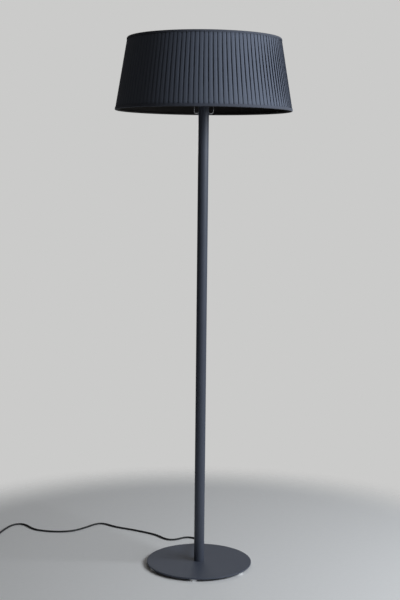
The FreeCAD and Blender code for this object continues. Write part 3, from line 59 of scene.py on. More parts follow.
# %% [markdown]
# ## Camera
# The photograph was taken from about four metres away with a short telephoto view, a little under
# the height of the shade, and slightly tilted. A camera could be placed by eye, but then every
# comparison would mix errors of the view with errors of the object. So its place, pitch and focal
# length were fitted to the edges of shade, pole and base. Blender measures the lens against the
# longer side of the image, so the focal length in pixels becomes millimetres with that side.

# %% Camera
IMAGE_HEIGHT = 600
FOCAL_PIXELS = 1157.6
SENSOR = 36.0
CAMERA_PLACE = Vector((-0.00598, -3.9931, 1.3941))
CAMERA_PITCH = math.radians(6.41)
CAMERA_ROLL = math.radians(0.6)


def put(name, data):
    """New object with some data, linked to the scene."""
    holder = bpy.data.objects.new(name, data)
    scene.collection.objects.link(holder)
    return holder


camera_data = bpy.data.cameras.new("photo_camera")
camera_data.sensor_width = SENSOR
camera_data.lens = FOCAL_PIXELS / IMAGE_HEIGHT * SENSOR
camera = put("photo_camera", camera_data)
upright = Matrix.Rotation(math.pi / 2 - CAMERA_PITCH, 4, "X")
camera.matrix_world = Matrix.Translation(CAMERA_PLACE) @ upright @ Matrix.Rotation(CAMERA_ROLL, 4, "Z")
scene.camera = camera
print("camera: lens %.1f mm" % camera_data.lens)

# %% [markdown]
# ## Mains cord
# The lead comes out of a strain relief behind the pole, sinks to the floor and runs off to the
# left in lazy waves. Straight runs with rounded corners would look like bent wire. A cord is one
# smooth line, so it is one NURBS spline: the route's points pull the line, and it never kinks.

# %% Cord: the route's points
CORD_D = 0.0068
ON_FLOOR = 0.0036
BEFORE_COIL = 0.0052
CORD_ROUTE = [
    (0, 0.063, 0.05),
    (0, 0.1005, 0.05),
    (0, 0.1485, 0.041),
    (0, 0.1965, 0.025),
    (0, 0.236, ON_FLOOR),
    (-0.006, 0.272, ON_FLOOR),
    (-0.048, 0.294, ON_FLOOR),
    (-0.09, 0.255, ON_FLOOR),
    (-0.124, 0.258, ON_FLOOR),
    (-0.162, 0.312, ON_FLOOR),
    (-0.205, 0.342, ON_FLOOR),
    (-0.262, 0.376, ON_FLOOR),
    (-0.33, 0.408, ON_FLOOR),
    (-0.374, 0.45, ON_FLOOR),
    (-0.406, 0.446, ON_FLOOR),
    (-0.442, 0.396, ON_FLOOR),
    (-0.486, 0.35, ON_FLOOR),
    (-0.54, 0.338, ON_FLOOR),
    (-0.596, 0.346, ON_FLOOR),
    (-0.642, 0.366, ON_FLOOR),
    (-0.684, 0.43, ON_FLOOR),
    (-0.718, 0.432, ON_FLOOR),
    (-0.74, 0.404, ON_FLOOR),
    (-0.757, 0.348, ON_FLOOR),
    (-0.767, 0.293, BEFORE_COIL),
    (-0.77, 0.243, BEFORE_COIL),
]
route = [Vector(point) for point in CORD_ROUTE]
print("cord: route of", len(route), "points")

# %% [markdown]
# Out of the picture the spare length is wound into a flat coil of two layers and tied. The coil
# winds inward on the floor, climbs one layer in half a turn and winds outward again. Points set by
# hand would make uneven turns, so a formula gives the point after any number of turns.

# %% Cord: coil
FULL_TURN = 2 * math.pi
COIL_R = 0.047
COIL_STEP = 0.0075
COIL_TURNS = 2.5
CLIMB_TURNS = 0.5
POINTS_PER_TURN = 16

heading = (route[-1] - route[-2]).normalized()
coil_start = route[-1] + heading * CORD_D
lean = math.atan(COIL_STEP / (FULL_TURN * COIL_R))
first_angle = math.atan2(heading.y, heading.x) + math.pi / 2 + lean
coil_middle = coil_start - Vector((math.cos(first_angle), math.sin(first_angle), 0)) * COIL_R


def coil_place(turns):
    """Point of the coil after some turns."""
    climb = min(max((turns - COIL_TURNS) / CLIMB_TURNS, 0), 1)
    inward = min(turns, COIL_TURNS) - max(turns - COIL_TURNS - CLIMB_TURNS, 0)
    angle = first_angle - FULL_TURN * turns
    out = COIL_R - COIL_STEP * inward - COIL_STEP / 2 * (climb - climb ** 2)
    rise = COIL_STEP * climb ** 2 * (3 - 2 * climb)
    return coil_middle + Vector((out * math.cos(angle), out * math.sin(angle), rise))


all_turns = COIL_TURNS * 2 + CLIMB_TURNS
steps = int(all_turns * POINTS_PER_TURN)
coil = [coil_place(all_turns * step / steps) for step in range(steps + 1)]
print("cord: coil of", len(coil), "points in", all_turns, "turns")

# %% [markdown]
# From the upper layer a short tail runs straight on to the plug, which lies beside the coil, and
# comes to the height of the plug's axis. Route, coil and tail are then the control points of one
# spline, so the cord stays one unbroken length.

# %% Cord: tail
TAIL_LEN = 0.074
PLUG_AXIS_Z = 0.0184
SMALL_TURN = 0.001
# Share of the tail's length and of its change of height, point by point.
TAIL_POINTS = ((0, 0), (1 / 3, 0), (2 / 3, 1), (1, 1))

leaving = (coil[-1] - coil_place(all_turns - SMALL_TURN)).normalized()
tail_start = coil[-1] + leaving * CORD_D
lift = Vector((0, 0, PLUG_AXIS_Z - tail_start.z))
tail = [tail_start + leaving * (TAIL_LEN * share) + lift * up for share, up in TAIL_POINTS]
print("cord: tail of", len(tail), "points")

# %% Cord: the spline
SPLINE_ORDER = 3
STEPS_ALONG = 8
BEVEL_STEPS = 4


def smooth_line(name, points, thickness):
    """Round cord on one NURBS spline with the points as its control points."""
    curve = bpy.data.curves.new(name, "CURVE")
    curve.dimensions = "3D"
    spline = curve.splines.new("NURBS")
    spline.points.add(len(points) - 1)
    # A curve's box grows by the radius of its points, so that holds the size and the bevel is 1.
    for handle, point in zip(spline.points, points):
        handle.co = (*point, 1)
        handle.radius = thickness / 2
    # The order is set after the points, because before them it would fall back to straight runs.
    spline.order_u = SPLINE_ORDER
    spline.use_endpoint_u = True
    spline.resolution_u = STEPS_ALONG
    curve.bevel_depth = 1
    curve.bevel_resolution = BEVEL_STEPS
    curve.use_fill_caps = True
    return put(name, curve)


cord = smooth_line("mains_cord", route + [coil_start] + coil[1:] + tail, CORD_D)
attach(cord, "stand")
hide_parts("cord_lead", "cord_coil", "cord_tail")

# %% [markdown]
# ## A small kit for node trees
# Node trees could be wired link by link, but the sums would drown in the wiring. Shader maths
# reads best as plain expressions, so one class wraps a node's output and gives it the usual
# operators. Its reflected forms let `1 - mask` work too.


# %% Node kit: a wire
class Wire:
    """Output of a node, with the operators of arithmetic."""

    def __init__(self, kit, socket):
        self.kit = kit
        self.socket = socket

    def maths(self, operation, *others):
        """Result of a maths node on this value and others."""
        sockets = dict(enumerate((self, *others)))
        return self.kit.node("ShaderNodeMath", {"operation": operation}, sockets)

    def beside(self, name):
        """Another output of the same node."""
        return Wire(self.kit, self.kit.find(self.socket.node.outputs, name))

    def __add__(self, other):
        return self.maths("ADD", other)

    def __sub__(self, other):
        return self.maths("SUBTRACT", other)

    def __mul__(self, other):
        return self.maths("MULTIPLY", other)

    def __truediv__(self, other):
        return self.maths("DIVIDE", other)

    def __rsub__(self, other):
        return self.kit.node("ShaderNodeMath", {"operation": "SUBTRACT"}, {0: other, 1: self})

    __radd__ = __add__
    __rmul__ = __mul__


print("node kit: wires with operators")

# %% [markdown]
# Any other node comes from one method that takes the node's type, its settings and its sockets.
# The short methods after it name the few nodes that come back often. The geometry tree further
# down uses the same kit, because its maths nodes are the same.


# %% Node kit: the nodes
class Kit:
    """Builds the nodes of one tree."""

    def __init__(self, tree):
        self.tree = tree

    def node(self, kind, settings=None, sockets=None, out=0):
        """Add a node, set its settings, then fill or link its sockets."""
        made = self.tree.nodes.new(kind)
        for name, setting in (settings or {}).items():
            setattr(made, name, setting)
        for name, value in (sockets or {}).items():
            socket = self.find(made.inputs, name)
            if isinstance(value, Wire):
                self.tree.links.new(value.socket, socket)
            else:
                socket.default_value = value
        return Wire(self, self.find(made.outputs, out)) if made.outputs else None

    @staticmethod
    def find(sockets, name):
        """Socket by its number, its identifier or its name."""
        if isinstance(name, int):
            return sockets[name]
        exact = [socket for socket in sockets if socket.identifier == name]
        return exact[0] if exact else sockets[name]

    def mix(self, factor, first, second):
        """Colour between two colours."""
        sockets = {"Factor_Float": factor, "A_Color": first, "B_Color": second}
        return self.node("ShaderNodeMix", {"data_type": "RGBA"}, sockets, "Result_Color")

    def noise(self, place, scale, detail, roughness=0.5):
        """Soft random value from 0 to 1."""
        sockets = {"Vector": place, "Scale": scale, "Detail": detail, "Roughness": roughness}
        return self.node("ShaderNodeTexNoise", None, sockets)

    def stretch(self, place, scale):
        """Coordinates scaled apart along the axes."""
        return self.node("ShaderNodeMapping", None, {"Vector": place, "Scale": scale})

    def bump(self, height, depth):
        """Normal pushed by a height given from 0 to 1, as deep as depth in metres."""
        return self.node("ShaderNodeBump", None, {"Height": height, "Distance": depth})

    def rise(self, value, start, stop, low=0.0, high=1.0):
        """Smooth rise from low to high while a value goes from start to stop."""
        sockets = {"Value": value, "From Min": start, "From Max": stop, "To Min": low, "To Max": high}
        return self.node("ShaderNodeMapRange", {"interpolation_type": "SMOOTHSTEP"}, sockets)

    def point(self, x, y, z=0.0):
        """Vector from its three values."""
        return self.node("ShaderNodeCombineXYZ", None, {"X": x, "Y": y, "Z": z})


print("node kit: nodes by type, settings and sockets")


# %% Node kit: colours and materials
def rgb(red, green, blue):
    """Linear colour from the usual 0 to 255 values of a screen."""
    def linear(part):
        part = part / 255
        return part / 12.92 if part <= 0.04045 else ((part + 0.055) / 1.055) ** 2.4
    return (linear(red), linear(green), linear(blue), 1.0)


def weigh(first, second, share):
    """Weighted mean of two values, with the share of the first."""
    return first * share + second * (1 - share)


def emptied(block):
    """Kit for the emptied node tree of a material or a world."""
    block.use_nodes = True
    block.node_tree.nodes.clear()
    return Kit(block.node_tree)


def finish(name, paint):
    """Material whose shader gets the sockets that a paint function makes with its kit."""
    material = bpy.data.materials.new(name)
    kit = emptied(material)
    shader = kit.node("ShaderNodeBsdfPrincipled", None, paint(kit))
    kit.node("ShaderNodeOutputMaterial", None, {"Surface": shader})
    return material


def on_object(kit):
    """Place on the piece, in metres."""
    return kit.node("ShaderNodeTexCoord", None, None, "Object")


print("node kit: ready for finishes")

# %% [markdown]
# ## Stage
# The heater stands on a pale floor that keeps its shadow. A large plane would show its far edge as
# a hard line, so the floor is a disc that fades out round the object. Its fade is the factor of a
# Mix Shader between paint and nothing.

# %% Stage: floor
FLOOR_R = 3.0
FLOOR_CORNERS = 96

floor_mesh = bpy.data.meshes.new("floor")
disc = bmesh.new()
bmesh.ops.create_circle(disc, cap_ends=True, radius=FLOOR_R, segments=FLOOR_CORNERS)
disc.to_mesh(floor_mesh)
disc.free()
floor = put("floor", floor_mesh)
print("stage: floor disc of", FLOOR_R, "m")

# %% Stage: look of the floor
FLOOR_TONE = rgb(246, 246, 246)
FLOOR_SECOND_TONE = rgb(241, 241, 241)
FLOOR_GRAIN = 60
FLOOR_ROUGH = 0.6
FADE_START = 0.95
FADE_END = 1.4

floor_look = bpy.data.materials.new("floor_look")
kit = emptied(floor_look)
spot = on_object(kit)
far = kit.node("ShaderNodeVectorMath", {"operation": "LENGTH"}, {0: spot}, "Value")
fade = kit.rise(far, FADE_START, FADE_END)
tone = kit.mix(kit.noise(spot, FLOOR_GRAIN, detail=4), FLOOR_TONE, FLOOR_SECOND_TONE)
painted = kit.node("ShaderNodeBsdfPrincipled", None, {"Base Color": tone, "Roughness": FLOOR_ROUGH})
nothing = kit.node("ShaderNodeBsdfTransparent")
both = kit.node("ShaderNodeMixShader", None, {0: fade, 1: painted, 2: nothing})
kit.node("ShaderNodeOutputMaterial", None, {"Surface": both})
floor_mesh.materials.append(floor_look)
print("stage: floor fades out from", FADE_START, "to", FADE_END, "m")

# %% [markdown]
# The background is the world itself. It could light the object as brightly as it looks, but then
# every side would be lit alike and the form would go flat. Light Path tells the rays apart: the
# camera and what it sees through clear pads get the plain pale tone, reflections get a tone that
# is darker on the left, and the rest is a weak fill with the same fall from right to left.

# %% Stage: world
BACKGROUND_TONE = rgb(203, 203, 202)
FILL_TONE = (1.0, 0.96, 0.9, 1.0)
FILL = 0.36
SIDE_DARK = 0.12
SIDE_BRIGHT = 0.4
DARK_UNTIL = -0.7
BRIGHT_FROM = 0.8

world = bpy.data.worlds.new("pale_room")
scene.world = world
kit = emptied(world)
camera_ray = kit.node("ShaderNodeLightPath", None, None, "Is Camera Ray")
seen = (camera_ray + camera_ray.beside("Is Transmission Ray")).maths("MINIMUM", 1.0)
glossy = camera_ray.beside("Is Glossy Ray")
direction = kit.node("ShaderNodeTexCoord", None, None, "Generated")
sideways = kit.node("ShaderNodeSeparateXYZ", None, {0: direction}, "X")
bright = kit.rise(sideways, DARK_UNTIL, BRIGHT_FROM, SIDE_DARK, SIDE_BRIGHT)
plain = kit.node("ShaderNodeBackground", None, {"Color": BACKGROUND_TONE, "Strength": 1.0})
mirrored = kit.node("ShaderNodeBackground", None, {"Color": BACKGROUND_TONE, "Strength": bright})
dim = kit.node("ShaderNodeBackground", None, {"Color": FILL_TONE, "Strength": bright * FILL})
unseen = kit.node("ShaderNodeMixShader", None, {0: glossy, 1: dim, 2: mirrored})
sky = kit.node("ShaderNodeMixShader", None, {0: seen, 1: unseen, 2: plain})
kit.node("ShaderNodeOutputWorld", None, {"Surface": sky})
print("stage: world darker on the left")

# %% [markdown]
# One large soft lamp at the front right is the main light, so the left sides of pole and shade
# fall into the dark. Two weak lamps behind keep the far sides readable: a wide one for the whole
# object, and one with a narrow beam, level with the shade. A narrow beam gathers a lamp's power,
# so that one needs only a few watts.


# %% Stage: lamps
def soft_lamp(name, place, target, size, power, tint, beam=180):
    """Lamp of some width and height that faces a point, with a beam of some degrees."""
    lamp = bpy.data.lights.new(name, "AREA")
    lamp.shape = "RECTANGLE"
    lamp.size, lamp.size_y = size
    lamp.energy = power
    lamp.color = tint
    lamp.spread = math.radians(beam)
    toward = (Vector(target) - Vector(place)).to_track_quat("-Z", "Y")
    put(name, lamp).matrix_world = Matrix.Translation(place) @ toward.to_matrix().to_4x4()


DAYLIGHT = (0.9, 0.95, 1.0)
PALE_DAYLIGHT = (0.95, 0.97, 1.0)
soft_lamp("window", place=(2.55, -1.18, 2.1), target=(0, 0, 1.1), size=(2.4, 1.3),
          power=90, tint=DAYLIGHT)
soft_lamp("back_fill", place=(-0.3, 3.6, 2.8), target=(0, 0, 1.2), size=(2.0, 2.0),
          power=12, tint=PALE_DAYLIGHT)
soft_lamp("shade_back", place=(-0.3, 3.4, 1.9), target=(0, 0, 1.75), size=(0.8, 0.8),
          power=2.2, tint=PALE_DAYLIGHT, beam=24)
scene.view_settings.view_transform = "Standard"
print("stage: window lamp and two weak ones behind")

# %% [markdown]
# ## Powder coat
# Base and pole are steel with a baked powder coat: matte, with a fine orange-peel skin. A single
# colour would look like a drawing, and a picture of paint would have an end and a seam. Three
# layers of noise, read in metres on the piece, give a slow drift of tone, the peel and fine specks
# at their real sizes. The hood over the heating tubes has a rougher black heat paint, made alike.

# %% Finish: powder coat
DRIFT_SCALE = 9
PEEL_SCALE = 900
SPECK_SCALE = 2600
DRIFT_IN_TONE = 0.6
DRIFT_IN_GLOSS = 0.1
PEEL_SHARE = 0.7
PEEL_DEPTH = 0.00012
PAINT_SPECULAR = 0.3


def powder_coat(dark, light, rough):
    """Matte baked paint between two tones."""
    def paint(kit):
        spot = on_object(kit)
        drift = kit.noise(spot, DRIFT_SCALE, detail=3)
        peel = kit.noise(spot, PEEL_SCALE, detail=2)
        speck = kit.noise(spot, SPECK_SCALE, detail=1)
        return {
            "Base Color": kit.mix(weigh(drift, speck, DRIFT_IN_TONE), dark, light),
            "Roughness": drift * DRIFT_IN_GLOSS + rough,
            "Normal": kit.bump(weigh(peel, speck, PEEL_SHARE), PEEL_DEPTH),
            "Specular IOR Level": PAINT_SPECULAR,
        }
    return paint


pole_paint = finish("anthracite_powder_coat", powder_coat(rgb(72, 77, 89), rgb(82, 88, 102), rough=0.4))
hood_paint = finish("black_heat_paint", powder_coat(rgb(26, 26, 27), rgb(36, 35, 35), rough=0.6))
print("finish:", pole_paint.name, hood_paint.name)

# %% [markdown]
# ## Bare metals
# Zinc, polished aluminium, guard wire, nickel and dark switch metal differ in tone, in how rough
# they are and in the way their fine lines run. One function serves them all: it stretches a noise
# along the lines and lets it vary the roughness, because on metal that shows more than colour.

# %% Finish: metals
LINE_DETAIL = 4
LINE_CRISPNESS = 0.6
CLOUD_SCALE = 25
LINES_IN_GLOSS = 0.16
CLOUD_IN_GLOSS = 0.08
LINE_DEPTH = 0.00003


def metal(tone, dull, rough, streak):
    """Bare metal with streaks, given as the scale of their noise along each axis."""
    def paint(kit):
        spot = on_object(kit)
        lines = kit.noise(kit.stretch(spot, streak), 1, LINE_DETAIL, LINE_CRISPNESS)
        cloud = kit.noise(spot, CLOUD_SCALE, detail=3)
        return {
            "Base Color": kit.mix(cloud, dull, tone),
            "Metallic": 1.0,
            "Roughness": lines * LINES_IN_GLOSS + cloud * CLOUD_IN_GLOSS + rough,
            "Normal": kit.bump(lines, LINE_DEPTH),
        }
    return paint


zinc = finish("zinc_plated_steel", metal(
    tone=(0.62, 0.62, 0.63, 1), dull=(0.48, 0.48, 0.5, 1), rough=0.3, streak=(300, 300, 300)))
mirror = finish("polished_aluminium", metal(
    tone=(0.88, 0.88, 0.89, 1), dull=(0.8, 0.8, 0.82, 1), rough=0.2, streak=(900, 30, 30)))
bright_wire = finish("bright_guard_wire", metal(
    tone=(0.74, 0.74, 0.76, 1), dull=(0.6, 0.6, 0.62, 1), rough=0.12, streak=(200, 200, 200)))
nickel = finish("nickel_plated_brass", metal(
    tone=(0.8, 0.76, 0.68, 1), dull=(0.68, 0.64, 0.56, 1), rough=0.18, streak=(400, 60, 400)))
dark_metal = finish("dark_switch_metal", metal(
    tone=(0.12, 0.12, 0.13, 1), dull=(0.08, 0.08, 0.085, 1), rough=0.25, streak=(900, 40, 900)))
print("finish: five metals")

# %% [markdown]
# ## Moulded and fired surfaces
# Plug, tie, cord, ceramic caps, sleeves, quartz tubes, clear pads and the shade's lining have a
# skin from a mould, a press or a kiln. They share one recipe with a grain of their own size and
# depth. Quartz and pads also let some light through, which is the same all over the piece, so it
# is set on the shader's own sockets.

# %% Finish: plastics, rubber, ceramic and quartz
SKIN_CRISPNESS = 0.6
PATCH_SCALE = 30
PATCH_IN_TONE = 0.7
SKIN_IN_GLOSS = 0.12


def moulded(dark, light, rough, grain, depth, **extra):
    """Skin between two tones, with a grain of some scale and depth."""
    def paint(kit):
        spot = on_object(kit)
        skin = kit.noise(spot, grain, 3, SKIN_CRISPNESS)
        patch = kit.noise(spot, PATCH_SCALE, detail=2)
        return {
            "Base Color": kit.mix(weigh(patch, skin, PATCH_IN_TONE), dark, light),
            "Roughness": skin * SKIN_IN_GLOSS + rough,
            "Normal": kit.bump(skin, depth),
            **extra,
        }
    return paint


rubber = finish("black_cord_rubber", moulded(
    rgb(24, 24, 26), rgb(34, 34, 37), rough=0.5, grain=900, depth=0.0001))
plastic = finish("black_moulded_plastic", moulded(
    rgb(30, 30, 31), rgb(40, 40, 41), rough=0.45, grain=1300, depth=0.00008))
ceramic = finish("white_ceramic", moulded(
    rgb(226, 222, 212), rgb(240, 237, 229), rough=0.6, grain=700, depth=0.0001))
sleeve = finish("glass_fibre_sleeve", moulded(
    rgb(196, 192, 180), rgb(226, 223, 212), rough=0.75, grain=1500, depth=0.0002))
carbon = finish("carbon_strip", moulded(
    rgb(16, 16, 17), rgb(44, 44, 46), rough=0.5, grain=2200, depth=0.0002))
quartz = finish("milky_quartz", moulded(
    rgb(232, 236, 238), rgb(246, 248, 249), rough=0.2, grain=60, depth=0.00002,
    **{"Transmission Weight": 0.45, "IOR": 1.46}))
clear_pad = finish("clear_soft_pad", moulded(
    rgb(243, 245, 247), rgb(251, 252, 253), rough=0.2, grain=200, depth=0.00005,
    **{"Transmission Weight": 0.2, "IOR": 1.41}))
lining = finish("dark_shade_lining", moulded(
    rgb(25, 22, 21), rgb(34, 30, 28), rough=0.55, grain=500, depth=0.00006))
print("finish: plastics, rubber, ceramic, quartz, lining")

# %% [markdown]
# The record of the frame names a material slot for every node. Naming each node here would be a
# long list that ages badly, so the finishes are listed once by slot and the record does the rest.

# %% Finish: hang them on the frame's nodes
LOOKS = {
    "pole_paint": pole_paint,
    "hood_paint": hood_paint,
    "clear_pad": clear_pad,
    "steel": zinc,
    "mirror_alu": mirror,
    "guard_chrome": bright_wire,
    "quartz": quartz,
    "carbon": carbon,
    "ceramic_white": ceramic,
    "lead_sleeve": sleeve,
    "black_rubber": rubber,
    "tie_plastic": plastic,
    "pin_metal": nickel,
    "switch_metal": dark_metal,
    "dark_liner": lining,
}
dressed = [entry for entry in frame["record"]["subparts"] if entry["material_slot"] in LOOKS]
for entry in dressed:
    materials = nodes[entry["node"]].data.materials
    materials.clear()
    materials.append(LOOKS[entry["material_slot"]])
cord.data.materials.append(rubber)
print("finish: hung on", len(dressed), "nodes and the cord")

# %% [markdown]
# ## Geometry trees
# A shape that repeats by a rule is made by a geometry tree with named inputs for its sizes. The
# export needs plain meshes, so a tree ends in real geometry with its material, a host object grows
# it once, and only the finished mesh is kept. Inputs are set by the socket's identifier, before
# the host is first evaluated.


# %% Geometry trees: helpers
def new_tree(name, inputs):
    """Geometry tree with named inputs, its kit and the wires that the inputs give."""
    tree = bpy.data.node_groups.new(name, "GeometryNodeTree")
    tree.interface.new_socket("Geometry", in_out="OUTPUT", socket_type="NodeSocketGeometry")
    for label, kind in inputs.items():
        tree.interface.new_socket(label, in_out="INPUT", socket_type="NodeSocket" + kind)
    kit = Kit(tree)
    entry = tree.nodes.new("NodeGroupInput")
    wires = {label: Wire(kit, entry.outputs[label]) for label in inputs}
    return tree, kit, wires


def close_tree(kit, geometry, material):
    """End a tree in real geometry with its material."""
    real = kit.node("GeometryNodeRealizeInstances", None, {"Geometry": geometry})
    painted = kit.node("GeometryNodeSetMaterial", None, {"Geometry": real, "Material": material})
    kit.node("NodeGroupOutput", None, {"Geometry": painted})


def grown(name, tree, values):
    """Piece made by a geometry tree with its inputs set, as a plain mesh."""
    host = put(name + "_host", bpy.data.meshes.new(name + "_host"))
    modifier = host.modifiers.new("grow", "NODES")
    modifier.node_group = tree
    for item in tree.interface.items_tree:
        if item.in_out == "INPUT":
            modifier[item.identifier] = values[item.name]
    evaluated = host.evaluated_get(bpy.context.evaluated_depsgraph_get())
    mesh = bpy.data.meshes.new_from_object(evaluated)
    bpy.data.objects.remove(host)
    mesh.name = name
    return put(name, mesh)


print("geometry trees: helpers ready")

# %% [markdown]
# ## Shade cloth
# The shade is cloth pressed into knife pleats and stretched on two wire rings. A cloth simulation
# would have to be held in every fold, and a bump map would leave the outline smooth. The pleats
# follow one rule round the cone, so a geometry tree makes them: a flat grid is rolled up, and each
# column of the grid knows its place in its pleat. The cone itself is read from the frame.

# %% Shade cloth: the cone
bottom_low, bottom_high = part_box("shade_bottom_binding")
top_low, top_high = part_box("shade_top_binding")
shade_low = bottom_low.z
shade_high = top_high.z
shade_h = shade_high - shade_low
rim_r = (bottom_high.x - bottom_low.x) / 2
top_hem_r = (top_high.x - top_low.x) / 2
top_r = rim_r - (rim_r - top_hem_r) * shade_h / (top_low.z - shade_low)


def cone_r(z):
    """Radius of the shade's outer cone at a height."""
    return rim_r + (top_r - rim_r) * (z - shade_low) / shade_h


print("shade: rim radius %.4f, top radius %.4f, height %.3f" % (rim_r, top_r, shade_h))

# %% Shade cloth: the grid
tree, kit, size = new_tree("knife_pleats", {
    "Pleats": "Int", "Columns": "Int", "Rows": "Int", "Face Share": "Float", "Depth": "Float",
    "Low Overlap": "Float", "High Overlap": "Float", "Wander": "Float", "Flat Ends": "Float",
    "Face Slope": "Float", "Dip Start": "Float", "Low Radius": "Float", "High Radius": "Float",
    "Low": "Float", "High": "Float", "Seed": "Float", "Material": "Material",
})
columns = size["Pleats"] * size["Columns"] + 1
grid = kit.node("GeometryNodeMeshGrid", None, {
    "Size X": 1.0, "Size Y": 1.0, "Vertices X": columns, "Vertices Y": size["Rows"]}, "Mesh")
place = kit.node("GeometryNodeInputPosition")
grid_x = kit.node("ShaderNodeSeparateXYZ", None, {0: place}, "X")
along = grid_x + 0.5
up = grid_x.beside("Y") + 0.5
print("shade cloth: grid that runs from 0 to 1 along and up")

# %% [markdown]
# Each pleat has a face and a return. The face starts at a crisp outer fold, leans gently inward,
# dips under the next fold and doubles back to it. The slot that is left under each fold draws the
# thin dark line between pleats. The cone is narrower at the top, so the pleats overlap more there.

# %% Shade cloth: one pleat
FACE_BELLY = 0.12
COUNT_MARGIN = 0.001

count = along * size["Pleats"]
number = (count + COUNT_MARGIN).maths("FLOOR")
share = count - number
on_face = share.maths("LESS_THAN", size["Face Share"])
face = share / size["Face Share"]
riser = (share - size["Face Share"]) / (1 - size["Face Share"])
overlap = size["Low Overlap"] + (size["High Overlap"] - size["Low Overlap"]) * up
face_across = face * (overlap + 1)
across = on_face * face_across + (1 - on_face) * (overlap + 1 - riser * overlap)
belly = (face * math.pi).maths("SINE") * FACE_BELLY
dip = kit.rise(face_across, size["Dip Start"], 1.0)
face_sink = (face - belly) * size["Face Slope"] + dip * (1 - size["Face Slope"])
sink = on_face * face_sink + (1 - on_face) * (1 - riser)
print("shade cloth: section of a pleat, across and inward")

# %% [markdown]
# Pressed pleats are never quite even. A soft random field moves the folds a little sideways and
# changes their depth. It is read on a circle, so that it closes on itself where the strip ends
# meet. The bindings press the pleats flatter at the rims, so they open most in the middle.

# %% Shade cloth: uneven pleats
FIELD_UP = 0.9
WANDER_SCALE = 0.55
SWELL_SCALE = 0.3
SWELL_RANGE = 0.3
SWELL_LEAST = 0.85


def round_axis(turn, radius, z):
    """Point at a turn and a radius about the shade's axis."""
    return turn.kit.point(turn.maths("COSINE") * radius, turn.maths("SINE") * radius, z)


turn = (number + across) * FULL_TURN / size["Pleats"]
field = round_axis(turn, size["Pleats"] / FULL_TURN, up * FIELD_UP + size["Seed"])
wander = (kit.noise(field, WANDER_SCALE, detail=1) - 0.5) * size["Wander"] * 2
turn = turn + wander * FULL_TURN / size["Pleats"]
opening = (up * math.pi).maths("SINE") * (1 - size["Flat Ends"]) + size["Flat Ends"]
swell = (kit.noise(field, SWELL_SCALE, detail=0) * SWELL_RANGE + SWELL_LEAST) * opening
print("shade cloth: folds that wander and swell")

# %% [markdown]
# Now the grid is rolled up. Before it bends, each corner gets its place on the flat cloth as a
# map in metres, so that the threads of the finish follow the cloth into every fold. The first and
# last columns fall together and are merged.

# %% Shade cloth: roll it up
CLOTH_PER_PLEAT = 0.024
MERGE_WITHIN = 0.00001

cone = size["Low Radius"] + (size["High Radius"] - size["Low Radius"]) * up
height = size["High"] - size["Low"]
rolled = round_axis(turn, cone - sink * swell * size["Depth"], size["Low"] + height * up)
threads = kit.point(count * CLOTH_PER_PLEAT, up * height)
mapped = kit.node("GeometryNodeStoreNamedAttribute", {"data_type": "FLOAT2", "domain": "CORNER"}, {
    "Geometry": grid, "Name": "UVMap", "Value": threads})
bent = kit.node("GeometryNodeSetPosition", None, {"Geometry": mapped, "Position": rolled})
closed = kit.node("GeometryNodeMergeByDistance", None, {"Geometry": bent, "Distance": MERGE_WITHIN})
close_tree(kit, closed, size["Material"])
print("shade cloth: tree of", len(tree.nodes), "nodes")

# %% [markdown]
# The cloth is a plain weave of fine threads with a slight sheen. Two sine waves across each other
# make the over and under of the threads, which is cheaper and more even than a mesh of threads
# that are thinner than a pixel. A stretched noise adds slubs, the thicker places in a yarn.

# %% Shade cloth: finish
SLUB_STRETCH = (900, 40, 1)
SHADING_SCALE = 12
THREAD_IN_TONE = 0.35
SLUB_IN_TONE = 0.4
SHADING_IN_TONE = 0.25
SLUB_IN_GLOSS = 0.1
THREAD_SHARE = 0.7
SHEEN = 0.15
SHEEN_ROUGH = 0.5


def weave(dark, light, thread, depth, rough):
    """Plain weave on the piece's own map, with threads of a given width."""
    def paint(kit):
        mapped = kit.node("ShaderNodeUVMap", {"uv_map": "UVMap"})
        map_x = kit.node("ShaderNodeSeparateXYZ", None, {0: mapped}, "X")
        warp = (map_x * (math.pi / thread)).maths("SINE")
        weft = (map_x.beside("Y") * (math.pi / thread)).maths("SINE")
        over = (warp * weft) * 0.5 + 0.5
        slub = kit.noise(kit.stretch(mapped, SLUB_STRETCH), 1, detail=3)
        shading = kit.noise(mapped, SHADING_SCALE, detail=3)
        tone = over * THREAD_IN_TONE + slub * SLUB_IN_TONE + shading * SHADING_IN_TONE
        return {
            "Base Color": kit.mix(tone, dark, light),
            "Roughness": slub * SLUB_IN_GLOSS + rough,
            "Normal": kit.bump(weigh(over, slub, THREAD_SHARE), depth),
            "Sheen Weight": SHEEN,
            "Sheen Roughness": SHEEN_ROUGH,
        }
    return paint


cloth_look = finish("pleated_anthracite_cloth", weave(
    rgb(78, 85, 100), rgb(95, 103, 120), thread=0.0005, depth=0.0001, rough=0.75))
print("finish:", cloth_look.name)

# %% [markdown]
# With tree and finish ready, the cloth is grown at the object's sizes. A sheet without thickness
# has no inside, so Solidify gives it the thickness of the cloth, on the inner side only.

# %% Shade cloth: grow it
PLEATS = 116
PLEAT_DEPTH = 0.0044
LOW_OVERLAP = 0.15
HIGH_OVERLAP = 0.26
CLOTH_THICK = 0.0004
RIM_FOLD = 0.00115
SHARP_FOLD = math.radians(35)

cloth_low = shade_low + RIM_FOLD
cloth_high = shade_high - RIM_FOLD
